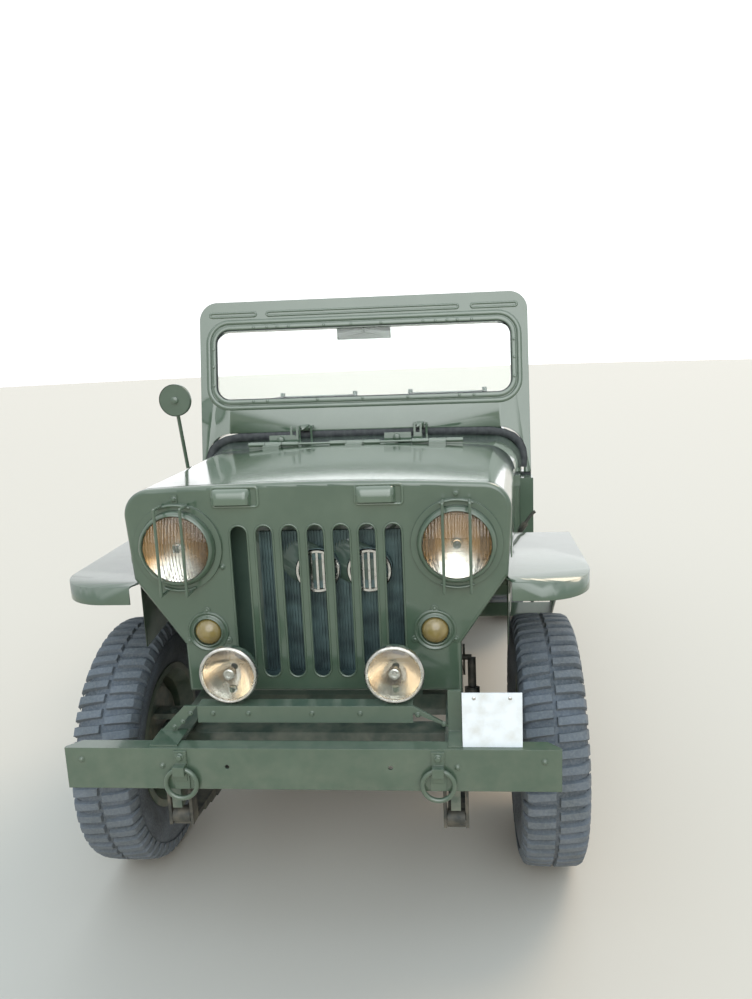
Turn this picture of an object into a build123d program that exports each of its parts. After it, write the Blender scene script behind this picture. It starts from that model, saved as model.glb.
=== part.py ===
from build123d import *
from math import asin, atan, cos, radians, sin, tan
import os

# Army 4x4 car, short wheelbase, high hood, right-hand drive.
# Frame: millimetres, +Z up, front towards -Y, +X to the vehicle's left. The
# origin is on the ground under the centre of the bounding box. Stations named
# ..._Y are measured back from the front axle and turned into the frame by at().

# Whole car
FRONT_OVERHANG = 520
WHEELBASE = 2032
REAR_OVERHANG = 747
RING_STRAP_DEPTH = 24
TRACK = 1226
FRONT_REACH = FRONT_OVERHANG + RING_STRAP_DEPTH
FRONT_AXLE = FRONT_REACH - (FRONT_REACH + WHEELBASE + REAR_OVERHANG) / 2
RUNNING_CLEARANCE = 6
SEAT_GAP = 0.3
SHEET = 4

# Tyres and wheels
TYRE_RADIUS = 362
TYRE_WIDTH = 178
TREAD_WIDTH = 146
RIM_RADIUS = 203
RIM_WIDTH = 136
RIM_SHEET = 6
WELL_DEPTH = 26
DISC_DISH = 34
DRUM_RADIUS = 142
DRUM_WIDTH = 58
HUB_RADIUS = 55
HUB_LENGTH = 74
NUT_CIRCLE = 139.7
NUT_RADIUS = 12
NUTS = 5

# Axles, knuckles and steering
AXLE_TUBE_RADIUS = 35
DIFF_X = -190
DIFF_RADIUS = 118
DIFF_LENGTH = 150
KINGPIN_INSET = 78
KINGPIN_X = TRACK / 2 - KINGPIN_INSET
BALL_RADIUS = 48
EAR_GAP = 10
EAR_THICKNESS = 18
EAR_WIDTH = 56
KINGPIN_RADIUS = 12
BACKPLATE = 6
SPINDLE_RADIUS = 22
STEER_ARM_LENGTH = 150
STEER_ARM_WIDTH = 30
TIE_ROD_RADIUS = 13
TIE_PIN_RADIUS = 9
TIE_ROD_DROP = 14

# Frame and springs
RAIL_OUTER_X = 372
RAIL_WIDTH = 45
RAIL_TOP = 590
RAIL_HEIGHT = 100
RAIL_WALL = 5
SPRING_X = 350
SPRING_WIDTH = 45
SPRING_HALF_LENGTH = 450
SPRING_EYE_Z = 382
LEAVES = 7
LEAF_THICKNESS = 7
EYE_RADIUS = 20
SHACKLE_THICKNESS = 8
DAMPER_RADIUS = 24
CRADLE_Y = 985
CRADLE_Z = 372

# Engine
ENGINE_HALF_WIDTH = 190
ENGINE_FRONT_Y = -90
ENGINE_REAR_Y = 470
ENGINE_BOTTOM = 500
ENGINE_TOP = 1030
EXHAUST_X = 215
PIPE_RADIUS = 22
PIPE_Z = 445
CAN_Y = 1290
CAN_LENGTH = 400
CAN_RADIUS = 68

# Bumper
BUMPER_WIDTH = 1200
BUMPER_TOP = 605.5
BUMPER_HEIGHT = 107
BUMPER_DEPTH = 38
BUMPER_SHEET = 5
BUMPER_CHAMFER = 30
BUMPER_HOLE_X = 198
BUMPER_HOLE_Z = 557
BUMPER_HOLE_RADIUS = 5.5
RING_X = 311
RING_RADIUS = 38
RING_ROD = 6
RING_Z = 518
LAMP_BAR_Y = -420
LAMP_BAR_TOP = 674
LAMP_BAR_HEIGHT = 44
LAMP_BAR_LEFT = 250
LAMP_BAR_RIGHT = 290
POST_X = 352
POST_TOP = 715
POST_WIDTH = 33

# Lamps
HEADLAMP_X = 366
HEADLAMP_Z = 1038
HEADLAMP_LENS = 178
HEADLAMP_RIM = 204
HEADLAMP_PRESSING = 236
HEADLAMP_RIM_DEPTH = 30
HEADLAMP_BULGE = 22
LENS_SEAT = 8
FOG_X = 207
FOG_Y = -422
FOG_Z = 751
FOG_BOWL = 146
FOG_LENS = 130
FOG_BULGE = 9
FOG_RECESS = 6
MARKER_X = 304
MARKER_Z = 804
MARKER_LENS = 68
MARKER_RIM = 92
MARKER_BULGE = 20
GUARD_ROD = 4

# Grille
GRILLE_Y = -270
GRILLE_TOP = 1206
GRILLE_HALF_WIDTH = 508
GRILLE_CORNER = 72
GRILLE_CROWN = 12
GRILLE_WAIST_HALF_WIDTH = 497
GRILLE_WAIST_Z = 950
GRILLE_FOOT_SLANT_Z = 765
GRILLE_RIM_DEPTH = 18
GRILLE_RIM_ROUND = 12
GRILLE_FOOT_HALF_WIDTH = 372
GRILLE_FOOT_Z = 630
SLOTS = 7
SLOT_PITCH = 67.65
SLOT_WIDTH = 51
SLOT_BOTTOM = 672
SLOT_TOP = 1096
SCOOP_X = (-214, 161)
SCOOP_WIDTH = 96
SCOOP_DEPTH = 16
SCOOP_TOP = 1188
SCOOP_BOTTOM = 1153
GRILLE_FLANGE = 40

# Hood
HOOD_SIDE_DROP = 215
HOOD_REAR_Y = 558
HOOD_REAR_Z = 1190
HOOD_REAR_HALF_WIDTH = 577
HOOD_REAR_CORNER = 108
HOOD_REAR_CROWN = 15
HOOD_PIN_Y = 564
HOOD_PIN_Z = 1196
HOOD_HINGE_X = 300
HOOD_HINGE_PIN_RADIUS = 4
HOOD_KNUCKLE_RADIUS = 8
HOOD_KNUCKLE_LENGTH = 60
HINGE_PIN_RADIUS = 5
HINGE_KNUCKLE_RADIUS = 10

# Fenders
FENDER_HALF_WIDTH = 720
FENDER_TOP = 935
FENDER_LIP = 47
FENDER_FRONT_Y = -292
FENDER_KNEE_Y = 225
FENDER_TAIL_Y = 714
FENDER_TAIL_Z = 525
FENDER_PLAN_CORNER = 140
FENDER_INNER_X = 430
APRON_BOTTOM = 745

# Cowl and tub
COWL_FRONT_Y = 568
COWL_FLARE_Y = 795
COWL_REAR_Y = 900
COWL_TOP = 1187
COWL_CROWN = 12
COWL_HALF_WIDTH = 619
COWL_CORNER = 104
POST_YOKE_X = 228
POST_YOKE_Y = 606
POST_YOKE_TOP = 1254
FLOOR_Z = 612
TUB_FRONT_Y = 722
TUB_HALF_WIDTH = 656
TUB_BOTTOM = 500
TUB_REAR_STEP = 60
TUB_REAR_OVERHANG = 660
TUB_REAR_Y = WHEELBASE + TUB_REAR_OVERHANG
TUB_TOP = 1000
TUB_SHEET = 6
TUB_LIP = 14
TUB_JOIN_BEFORE_DOOR_REAR = 200
DOOR_FRONT_Y = 965
DOOR_TO_AXLE = 532
DOOR_REAR_Y = WHEELBASE - DOOR_TO_AXLE
DOOR_SILL = 655
COWL_SIDE_TOP = 1021
ARCH_RADIUS = 408
ARCH_TOP = 800
WHEELBOX_X = 500
WHEELBOX_TOP = 850
WHEELBOX_HALF = 420
TAILGATE_WIDTH = 914
TAILGATE_BOTTOM = 640
TAILGATE_THICKNESS = 30
DASH_Y = 868
DASH_BOTTOM = 985

# Drawbar
DRAWBAR_WIDTH = 90
DRAWBAR_THICKNESS = 14
DRAWBAR_Z = 530
DRAWBAR_HOLE_BACK = 32
DRAWBAR_HOLE_RADIUS = 13
BUMPERETTE_DEPTH = 40

# Windshield
SCREEN_RAKE = 11
SCREEN_Y = 828
SCREEN_Z = 1147
SCREEN_HALF_WIDTH = 655
SCREEN_TOP_Z = 1726
SCREEN_CORNER = 72
SCREEN_ARCH_Z = 1208
SCREEN_ARCH_HALF_WIDTH = 636
SCREEN_ARCH_CORNER = 104
SCREEN_LEG_Z = 1030
SCREEN_LEG_HALF_WIDTH = 627
SCREEN_THICKNESS = 26
GLASS_HALF_WIDTH = 598
GLASS_BOTTOM_Z = 1339
GLASS_TOP_Z = 1609
GLASS_CORNER = 60
GLASS_THICKNESS = 6
SCREEN_PIN_Y = 812
SCREEN_PIN_Z = 1228
SCREEN_HINGE_X = 228

# Side mirror
MIRROR_X = -682
MIRROR_Y = 632
MIRROR_Z = 1363
MIRROR_RADIUS = 58
MIRROR_ARM_RADIUS = 7
MIRROR_BEND_Y = 700
MIRROR_BEND_Z = 1082
MIRROR_FOOT_Z = 1068

# Inside
DRIVER_X = -325
CUSHION_WIDTH = 430
CUSHION_LENGTH = 420
CUSHION_THICKNESS = 110
CUSHION_Z = 830
CUSHION_BEFORE_DOOR = 430
CUSHION_FRONT_Y = DOOR_REAR_Y - CUSHION_BEFORE_DOOR
BACK_HEIGHT = 480
BACK_THICKNESS = 85
BACK_RAKE = 12
SEAT_TUBE = 12
SEAT_INSET = 30
SEAT_BEND = 45
PAD_ROUND = 24
BENCH_SIDE_GAP = 20
BENCH_BEFORE_AXLE = 132
BENCH_Y = WHEELBASE - BENCH_BEFORE_AXLE
BENCH_DEPTH = 390
BENCH_Z = 840
BENCH_PAD = 90
BENCH_BACK = 70
BENCH_BACK_TOP = 1250
BENCH_BACK_SPACE = 22
BENCH_UPRIGHT_Y = BENCH_Y + BENCH_DEPTH + BENCH_BACK + BENCH_BACK_SPACE
WHEEL_RIM_RADIUS = 215
WHEEL_RIM_ROD = 11
BOSS_LENGTH = 40
BOSS_DROP = 34
COLUMN_TILT = 38
COLUMN_TOP_Y = 1040
COLUMN_TOP_Z = 1165
COLUMN_LENGTH = 800
COLUMN_RADIUS = 20


def at(station):
    """Frame Y of a station measured back from the front axle."""
    return FRONT_AXLE + station


def box(x0, x1, y0, y1, z0, z1):
    """Block between two corners, with stations along Y."""
    centre = Pos((x0 + x1) / 2, at((y0 + y1) / 2), (z0 + z1) / 2)
    return centre * Box(abs(x1 - x0), abs(y1 - y0), abs(z1 - z0))


def rod(start, end, radius):
    """Round bar between two points given as (x, station, z)."""
    p = Vector(start[0], at(start[1]), start[2])
    q = Vector(end[0], at(end[1]), end[2])
    along = Plane(origin=(p + q) / 2, z_dir=q - p)
    return along * Cylinder(radius, (q - p).length)


def tube(points, bend, radius):
    """Bent round tube through points given as (x, station, z)."""
    path = FilletPolyline(*[(x, at(y), z) for x, y, z in points], radius=bend)
    start = Plane(origin=path @ 0, z_dir=path % 0)
    return sweep(start * Circle(radius), path=path)


def slab_yz(points, x0, x1):
    """Plate with an outline of (station, z) points, between two X planes."""
    face = make_face(Polyline(*[(at(y), z) for y, z in points], close=True))
    return extrude(Plane.YZ.offset(x0) * face, amount=x1 - x0)


def slab_xz(points, y0, y1):
    """Plate with an outline of (x, z) points, between two stations."""
    face = make_face(Polyline(*points, close=True))
    return extrude(Plane.XZ.offset(-at(y1)) * face, amount=y1 - y0)


def slab_xy(points, z0, z1):
    """Plate with an outline of (x, station) points, between two heights."""
    face = make_face(Polyline(*[(x, at(y)) for x, y in points], close=True))
    return extrude(Plane.XY.offset(z0) * face, amount=z1 - z0)


def other_side(shape):
    """The same piece on the other side of the car."""
    return mirror(shape, about=Plane.YZ)


def both_sides(shape):
    """A left piece joined with its mirror image."""
    return shape + other_side(shape)


def spun(points):
    """Ring turned about the X axis from (x, radius) points."""
    return revolve(make_face(Polyline(*points, close=True)), Axis.X)


def save(name, shape):
    """Write one sub-part."""
    solids = shape.solids()
    whole = solids[0] if len(solids) == 1 else Compound(children=list(solids))
    export_step(whole, f"parts/{name}.step")


# Tyres and wheels, made for the left side with the outside towards +X
def tyre():
    half = TYRE_WIDTH / 2
    tread = TREAD_WIDTH / 2
    bead = RIM_WIDTH / 2 - RIM_SHEET
    foot = RIM_RADIUS + SEAT_GAP
    bulge = (TYRE_RADIUS + RIM_RADIUS) / 2
    shoulder = TYRE_RADIUS - 14
    right = [(bead, foot), (bead, foot + 22), (half, bulge), (half - 3, shoulder - 16)]
    right += [(tread, TYRE_RADIUS)]
    left = [(-x, r) for x, r in reversed(right)]
    return spun(right + left)


def wheel():
    edge = RIM_WIDTH / 2
    well = RIM_RADIUS - WELL_DEPTH
    outer = [(edge, RIM_RADIUS + 14), (edge - RIM_SHEET, RIM_RADIUS + 14)]
    outer += [(edge - RIM_SHEET, RIM_RADIUS), (edge - 26, RIM_RADIUS - 3), (edge - 38, well)]
    outer += [(-x, r) for x, r in reversed(outer)]
    inner = [(-edge, RIM_RADIUS - RIM_SHEET), (38 - edge, well - RIM_SHEET)]
    inner += [(-x, r) for x, r in reversed(inner)]
    rim = spun(outer + inner)
    dish = [(10, well - RIM_SHEET + 1), (DISC_DISH, well - 40), (DISC_DISH - 12, HUB_RADIUS)]
    disc = spun(dish + [(x - RIM_SHEET, r) for x, r in reversed(dish)])
    bore = SPINDLE_RADIUS + 1
    drum_back = KNUCKLE_FACE_X - TRACK / 2 + RUNNING_CLEARANCE
    drum_face = drum_back + DRUM_WIDTH
    drum = [(drum_back, DRUM_RADIUS), (drum_face, DRUM_RADIUS), (drum_face, bore)]
    drum += [(drum_face - 8, bore), (drum_face - 8, DRUM_RADIUS - 8), (drum_back, DRUM_RADIUS - 8)]
    hub = [(drum_face - 8, bore), (drum_face - 8, HUB_RADIUS), (HUB_LENGTH, HUB_RADIUS - 8)]
    hub += [(HUB_LENGTH, bore)]
    cap = [(HUB_LENGTH - 4, 0), (HUB_LENGTH - 4, HUB_RADIUS - 12), (HUB_LENGTH + 8, HUB_RADIUS - 16)]
    cap += [(HUB_LENGTH + 14, HUB_RADIUS - 28), (HUB_LENGTH + 14, 0)]
    whole = rim + disc + spun(drum) + spun(hub) + spun(cap)
    for i in range(NUTS):
        turn = Rot(X=360 * i / NUTS)
        seat = turn * Pos(DISC_DISH - 2, 0, NUT_CIRCLE / 2) * Rot(Y=90)
        whole += seat * Cylinder(NUT_RADIUS, 30)
    return whole


KNUCKLE_FACE_X = KINGPIN_X + BALL_RADIUS + RUNNING_CLEARANCE + BACKPLATE


def place_wheels():
    stations = {"front": 0, "rear": WHEELBASE}
    for name, make in (("tyre", tyre), ("wheel", wheel)):
        left = make()
        for end, station in stations.items():
            spot = Pos(TRACK / 2, at(station), TYRE_RADIUS) * left
            save(f"{name}_{end}_left", spot)
            save(f"{name}_{end}_right", other_side(spot))


# Beam axles
def axle(station, reach):
    tube = rod((-reach, station, TYRE_RADIUS), (reach, station, TYRE_RADIUS), AXLE_TUBE_RADIUS)
    bulb = Pos(DIFF_X, at(station), TYRE_RADIUS) * Sphere(DIFF_RADIUS)
    keep = box(DIFF_X - DIFF_LENGTH / 2, DIFF_X + DIFF_LENGTH / 2,
               station - DIFF_RADIUS, station + DIFF_RADIUS,
               TYRE_RADIUS - DIFF_RADIUS, TYRE_RADIUS + DIFF_RADIUS)
    return tube + (bulb & keep)


def front_axle():
    beam = axle(0, KINGPIN_X)
    nose = rod((DIFF_X, 60, TYRE_RADIUS), (DIFF_X, 190, TYRE_RADIUS), 42)
    ball = Pos(KINGPIN_X, at(0), TYRE_RADIUS) * Sphere(BALL_RADIUS)
    pin_reach = BALL_RADIUS + EAR_GAP + EAR_THICKNESS + 6
    pin = rod((KINGPIN_X, 0, TYRE_RADIUS - pin_reach), (KINGPIN_X, 0, TYRE_RADIUS + pin_reach),
              KINGPIN_RADIUS)
    return beam + nose + both_sides(ball + pin)


def rear_axle():
    beam = axle(WHEELBASE, KNUCKLE_FACE_X)
    nose = rod((DIFF_X, WHEELBASE - 190, TYRE_RADIUS), (DIFF_X, WHEELBASE - 60, TYRE_RADIUS), 42)
    plate = rod((KNUCKLE_FACE_X - BACKPLATE, WHEELBASE, TYRE_RADIUS),
                (KNUCKLE_FACE_X, WHEELBASE, TYRE_RADIUS), DRUM_RADIUS - 2)
    spindle = rod((KNUCKLE_FACE_X, WHEELBASE, TYRE_RADIUS),
                  (TRACK / 2 + HUB_LENGTH - 20, WHEELBASE, TYRE_RADIUS), SPINDLE_RADIUS)
    return beam + nose + both_sides(plate + spindle)


ARM_Z = TYRE_RADIUS - BALL_RADIUS - EAR_GAP - EAR_THICKNESS / 2


def knuckle():
    """Left knuckle: two ears over the ball, brake back plate, spindle, arm."""
    ears = None
    inner = KINGPIN_X - EAR_WIDTH / 2
    face = KNUCKLE_FACE_X
    for side in (-1, 1):
        near = TYRE_RADIUS + side * (BALL_RADIUS + EAR_GAP)
        far = near + side * EAR_THICKNESS
        ear = box(inner, face, -EAR_WIDTH / 2, EAR_WIDTH / 2, min(near, far), max(near, far))
        ears = ear if ears is None else ears + ear
    plate = rod((face - BACKPLATE, 0, TYRE_RADIUS), (face, 0, TYRE_RADIUS), DRUM_RADIUS - 2)
    spindle = rod((face, 0, TYRE_RADIUS), (TRACK / 2 + HUB_LENGTH - 20, 0, TYRE_RADIUS),
                  SPINDLE_RADIUS)
    arm = box(KINGPIN_X - STEER_ARM_WIDTH / 2, KINGPIN_X + STEER_ARM_WIDTH / 2,
              0, STEER_ARM_LENGTH + STEER_ARM_WIDTH / 2,
              ARM_Z - EAR_THICKNESS / 2, ARM_Z + EAR_THICKNESS / 2)
    reach = BALL_RADIUS + EAR_GAP + EAR_THICKNESS + 20
    hole = rod((KINGPIN_X, 0, TYRE_RADIUS - reach), (KINGPIN_X, 0, TYRE_RADIUS + reach),
               KINGPIN_RADIUS + SEAT_GAP)
    pin_hole = rod((KINGPIN_X, STEER_ARM_LENGTH, ARM_Z - 30), (KINGPIN_X, STEER_ARM_LENGTH, ARM_Z + 30),
                   TIE_PIN_RADIUS + SEAT_GAP)
    return ears + plate + spindle + arm - hole - pin_hole


def tie_rod():
    """Bar behind the front axle, hung on a pin at each steering arm."""
    z = ARM_Z - EAR_THICKNESS / 2 - TIE_ROD_RADIUS - TIE_ROD_DROP
    bar = rod((-KINGPIN_X, STEER_ARM_LENGTH, z), (KINGPIN_X, STEER_ARM_LENGTH, z), TIE_ROD_RADIUS)
    end = Pos(KINGPIN_X, at(STEER_ARM_LENGTH), z) * Sphere(TIE_ROD_RADIUS + 5)
    pin = rod((KINGPIN_X, STEER_ARM_LENGTH, z), (KINGPIN_X, STEER_ARM_LENGTH, ARM_Z + 14),
              TIE_PIN_RADIUS)
    return bar + both_sides(end + pin)


# Ladder frame
def frame():
    front = -FRONT_OVERHANG + BUMPER_DEPTH
    back = TUB_REAR_Y + 20
    inner = RAIL_OUTER_X - RAIL_WIDTH
    bottom = RAIL_TOP - RAIL_HEIGHT
    rail = box(inner, RAIL_OUTER_X, front, back, bottom, RAIL_TOP)
    rail -= box(inner - 1, RAIL_OUTER_X - RAIL_WALL, front - 1, back + 1,
                bottom + RAIL_WALL, RAIL_TOP - RAIL_WALL)
    whole = both_sides(rail)
    # station, depth along Y, lower and upper height of each cross member
    members = [(-330, 60, 500, 560), (-170, 72, 530, RAIL_TOP), (DOOR_REAR_Y + 20, 70, 520, 585),
               (back - 30, 60, 495, 585)]
    reach = RAIL_OUTER_X - RAIL_WALL
    for station, depth, low, high in members:
        whole += box(-reach, reach, station - depth / 2, station + depth / 2, low, high)
    whole += box(-RAIL_OUTER_X, RAIL_OUTER_X, CRADLE_Y - 70, CRADLE_Y + 70, CRADLE_Z, CRADLE_Z + 14)
    for side in (-1, 1):
        near = side * inner
        far = side * RAIL_OUTER_X
        whole += box(min(near, far), max(near, far), CRADLE_Y - 70, CRADLE_Y + 70, CRADLE_Z, bottom)
        tip = side * ENGINE_HALF_WIDTH
        whole += box(min(near, tip), max(near, tip), 30, 90, 520, 560)
    for station in (-SPRING_HALF_LENGTH, SPRING_HALF_LENGTH,
                    WHEELBASE - SPRING_HALF_LENGTH, WHEELBASE + SPRING_HALF_LENGTH):
        lug = box(SPRING_X - 12, SPRING_X + 12, station - 24, station + 24,
                  SPRING_EYE_Z + EYE_RADIUS + 14, bottom)
        whole += both_sides(lug)
    return whole


def leaf(half_length, drop, sag, side_x):
    """One leaf: a shallow bow, with its top at the eye's height less the drop."""
    top = [(-half_length, sag), (0, 0), (half_length, sag)]
    arc_top = ThreePointArc(*top)
    arc_bottom = ThreePointArc(*[(y, z - LEAF_THICKNESS) for y, z in reversed(top)])
    ends = [Line(arc_top @ 1, arc_bottom @ 0), Line(arc_bottom @ 1, arc_top @ 0)]
    face = make_face([arc_top, ends[0], arc_bottom, ends[1]])
    return extrude(Plane.YZ.offset(side_x) * Pos(0, -drop) * face, amount=SPRING_WIDTH)


def spring(station):
    """Left leaf spring under an axle, with eyes, shackle plates and U-bolts."""
    sag = SPRING_EYE_Z - EYE_RADIUS - (TYRE_RADIUS - AXLE_TUBE_RADIUS)
    inner = SPRING_X - SPRING_WIDTH / 2
    stack = None
    for i in range(LEAVES):
        half = SPRING_HALF_LENGTH * (1 - 0.8 * i / LEAVES)
        rise = sag * (half / SPRING_HALF_LENGTH) ** 2
        one = leaf(half, i * LEAF_THICKNESS, rise, inner)
        stack = one if stack is None else stack + one
    stack = Pos(0, at(station), TYRE_RADIUS - AXLE_TUBE_RADIUS) * stack
    outer = SPRING_X + SPRING_WIDTH / 2
    for end in (-1, 1):
        y = station + end * (SPRING_HALF_LENGTH - EYE_RADIUS / 2)
        stack += rod((inner, y, SPRING_EYE_Z - 4), (outer, y, SPRING_EYE_Z - 4), EYE_RADIUS)
        bolt_out = outer + SHACKLE_THICKNESS + 1
        bolt_in = inner - SHACKLE_THICKNESS - 1
        stack += rod((bolt_in, y, SPRING_EYE_Z - 4), (bolt_out, y, SPRING_EYE_Z - 4), 9)
        for x in (bolt_in, outer + 1):
            stack += box(x, x + SHACKLE_THICKNESS, y - 18, y + 18,
                         SPRING_EYE_Z - 24, SPRING_EYE_Z + EYE_RADIUS + 60)
    bottom = TYRE_RADIUS - AXLE_TUBE_RADIUS - LEAVES * LEAF_THICKNESS
    stack += box(inner - 14, outer + 14, station - 55, station + 55, bottom - 10, bottom)
    return stack


def damper(station, lean):
    """Left telescopic damper from the spring plate up to the rail."""
    x = SPRING_X + 52
    low = (x, station + lean * 75, TYRE_RADIUS - 62)
    mid = (x, station + lean * 120, TYRE_RADIUS + 95)
    high = (x, station + lean * 150, RAIL_TOP - 45)
    body = rod(low, mid, DAMPER_RADIUS) + rod(mid, high, DAMPER_RADIUS * 0.55)
    foot = rod((SPRING_X + SPRING_WIDTH / 2, low[1], low[2]), (x, low[1], low[2]), 9)
    head = rod((RAIL_OUTER_X, high[1], high[2]), (x, high[1], high[2]), 9)
    return body + foot + head


# Front bumper with rings, braces and lamp bar
def front_bumper():
    half = BUMPER_WIDTH / 2
    front = -FRONT_OVERHANG
    back = front + BUMPER_DEPTH
    bottom = BUMPER_TOP - BUMPER_HEIGHT
    plan = [(-half, front), (half, front), (half, back - BUMPER_CHAMFER),
            (half - BUMPER_CHAMFER, back), (BUMPER_CHAMFER - half, back), (-half, back - BUMPER_CHAMFER)]
    beam = slab_xy(plan, bottom, BUMPER_TOP)
    beam -= box(-half - 1, half + 1, front + BUMPER_SHEET, back + 1,
                bottom + BUMPER_SHEET, BUMPER_TOP - BUMPER_SHEET)
    hole = disc(BUMPER_HOLE_X, front - 1, front + BUMPER_SHEET + 1, BUMPER_HOLE_Z, BUMPER_HOLE_RADIUS)
    return beam - both_sides(hole)


def tow_ring():
    """Left ring hanging in a strap on the bumper's face."""
    face = -FRONT_OVERHANG
    ring = Pos(RING_X, at(face - RING_ROD - 4), RING_Z) * Rot(X=90) * Torus(RING_RADIUS, RING_ROD)
    top = RING_Z + RING_RADIUS
    strap = box(RING_X - 14, RING_X + 14, face - 6, face, top - 34, BUMPER_TOP - 12)
    loop = box(RING_X - 14, RING_X + 14, face - RING_STRAP_DEPTH, face - 6, top - 12, top + 12)
    return strap + loop + ring


def lamp_bar():
    top = LAMP_BAR_TOP
    low = top - LAMP_BAR_HEIGHT
    y = LAMP_BAR_Y
    bar = box(-LAMP_BAR_RIGHT, LAMP_BAR_LEFT, y - 20, y + 20, low, top)
    bar -= box(-LAMP_BAR_RIGHT - 1, LAMP_BAR_LEFT + 1, y - 20 + SHEET, y + 21, low - 1, top - SHEET)
    foot = BUMPER_TOP
    strap = slab_xz([(-LAMP_BAR_RIGHT, top), (-LAMP_BAR_RIGHT - 34, top),
                     (-LAMP_BAR_RIGHT - 100, foot), (-LAMP_BAR_RIGHT - 60, foot)], y - 20, y - 12)
    strap += box(-LAMP_BAR_RIGHT - 100, -LAMP_BAR_RIGHT - 30, -FRONT_OVERHANG + 8, y - 12,
                 foot, foot + SHEET)
    brace = slab_xz([(LAMP_BAR_LEFT - 40, top), (LAMP_BAR_LEFT, top),
                     (POST_X - 8, foot + 14), (POST_X - POST_WIDTH / 2, foot + 14)], y - 20, y - 12)
    post = box(POST_X - POST_WIDTH / 2, POST_X + POST_WIDTH / 2, y - 20, y - 12, foot, POST_TOP)
    post += box(POST_X - POST_WIDTH / 2, POST_X + POST_WIDTH / 2, -FRONT_OVERHANG + 8, y - 12,
                foot, foot + SHEET)
    shelf = box(POST_X - POST_WIDTH / 2, POST_X + POST_WIDTH / 2, y - 20, y + 10, 684, 690)
    return bar + strap + brace + post + shelf


def plate():
    """Blank number plate on the bumper, at the vehicle's left."""
    return box(370, 510, -FRONT_OVERHANG + 12, -FRONT_OVERHANG + 15, BUMPER_TOP, BUMPER_TOP + 136)


# Lamps
def disc(x, y0, y1, z, radius):
    return rod((x, y0, z), (x, y1, z), radius)


def lamp_bowls():
    """Headlamp rims in the grille and the two fog lamp bowls with their stalks."""
    front = GRILLE_Y - HEADLAMP_RIM_DEPTH
    rim = disc(HEADLAMP_X, front, GRILLE_Y, HEADLAMP_Z, HEADLAMP_RIM / 2)
    rim -= disc(HEADLAMP_X, front - 1, GRILLE_Y - LENS_SEAT, HEADLAMP_Z, HEADLAMP_LENS / 2)
    bowl = Pos(FOG_X, at(FOG_Y), FOG_Z) * Sphere(FOG_BOWL / 2)
    bowl -= box(FOG_X - 90, FOG_X + 90, FOG_Y - 100, FOG_Y, FOG_Z - 90, FOG_Z + 90)
    bowl = bowl + disc(FOG_X, FOG_Y - 12, FOG_Y, FOG_Z, FOG_BOWL / 2)
    bowl -= disc(FOG_X, FOG_Y - 13, FOG_Y + FOG_RECESS, FOG_Z, FOG_LENS / 2)
    stalk = rod((FOG_X, FOG_Y + 20, LAMP_BAR_TOP), (FOG_X, FOG_Y + 20, FOG_Z - 40), 9)
    return both_sides(rim + bowl + stalk)


def dome(x, face, z, radius, bulge, depth):
    """Round lens turned about the lamp's axis, with a domed front."""
    ball = (radius ** 2 + bulge ** 2) / (2 * bulge)
    half = asin(radius / ball) / 2
    middle = (ball * sin(half), ball - bulge - ball * cos(half))
    front = ThreePointArc((0, -bulge), middle, (radius, 0))
    back = Polyline((radius, 0), (radius, depth), (0, depth), (0, -bulge))
    return Pos(x, at(face), z) * revolve(make_face([front, back]), Axis.Y)


def lamp_lenses():
    head = dome(HEADLAMP_X, GRILLE_Y - HEADLAMP_RIM_DEPTH + 8, HEADLAMP_Z, HEADLAMP_LENS / 2 - SEAT_GAP,
                HEADLAMP_BULGE, HEADLAMP_RIM_DEPTH - 8 - LENS_SEAT)
    fog = dome(FOG_X, FOG_Y - 8, FOG_Z, FOG_LENS / 2 - SEAT_GAP, FOG_BULGE, 8 + FOG_RECESS)
    return both_sides(head + fog)


def marker_lamps():
    rim = disc(MARKER_X, GRILLE_Y - LENS_SEAT, GRILLE_Y, MARKER_Z, MARKER_RIM / 2)
    lens = dome(MARKER_X, GRILLE_Y - LENS_SEAT - 4, MARKER_Z, MARKER_LENS / 2, MARKER_BULGE, 4)
    return both_sides(rim + lens)


def lamp_guards():
    """Two upright wires in a bow over each headlamp."""
    face = GRILLE_Y - 58
    reach = HEADLAMP_RIM / 2 + 12
    whole = None
    for x in (HEADLAMP_X - 34, HEADLAMP_X + 34):
        bar = rod((x, face, HEADLAMP_Z - reach), (x, face, HEADLAMP_Z + reach), GUARD_ROD)
        for end in (-1, 1):
            z = HEADLAMP_Z + end * reach
            bar += rod((x, face, z), (x, GRILLE_Y - 8, z), GUARD_ROD)
            bar += Pos(x, at(face), z) * Sphere(GUARD_ROD)
        whole = bar if whole is None else whole + bar
    return both_sides(whole)


# Grille panel and radiator
def grille_outline(inset):
    """Outline of the panel, moved in by an inset."""
    half = GRILLE_HALF_WIDTH - inset
    waist = GRILLE_WAIST_HALF_WIDTH - inset
    foot = GRILLE_FOOT_HALF_WIDTH - inset
    top = GRILLE_TOP - GRILLE_CROWN - inset
    corner = GRILLE_CORNER - inset
    slant = GRILLE_WAIST_HALF_WIDTH - GRILLE_FOOT_HALF_WIDTH
    fall = inset * tan(radians(45) - 0.5 * atan(slant / (GRILLE_WAIST_Z - GRILLE_FOOT_SLANT_Z)))
    points = [(half, top - corner), (waist, GRILLE_WAIST_Z - fall / 2), (foot, GRILLE_FOOT_SLANT_Z - fall / 2)]
    points += [(foot, GRILLE_FOOT_Z + inset)]
    across = [(-x, z) for x, z in reversed(points)]
    crown = ThreePointArc((corner - half, top), (0, GRILLE_TOP - inset), (half - corner, top))
    turn_right = RadiusArc((half - corner, top), (half, top - corner), corner)
    turn_left = RadiusArc((-half, top - corner), (corner - half, top), corner)
    return make_face([crown, turn_right, Polyline(*points, *across), turn_left])


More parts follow.
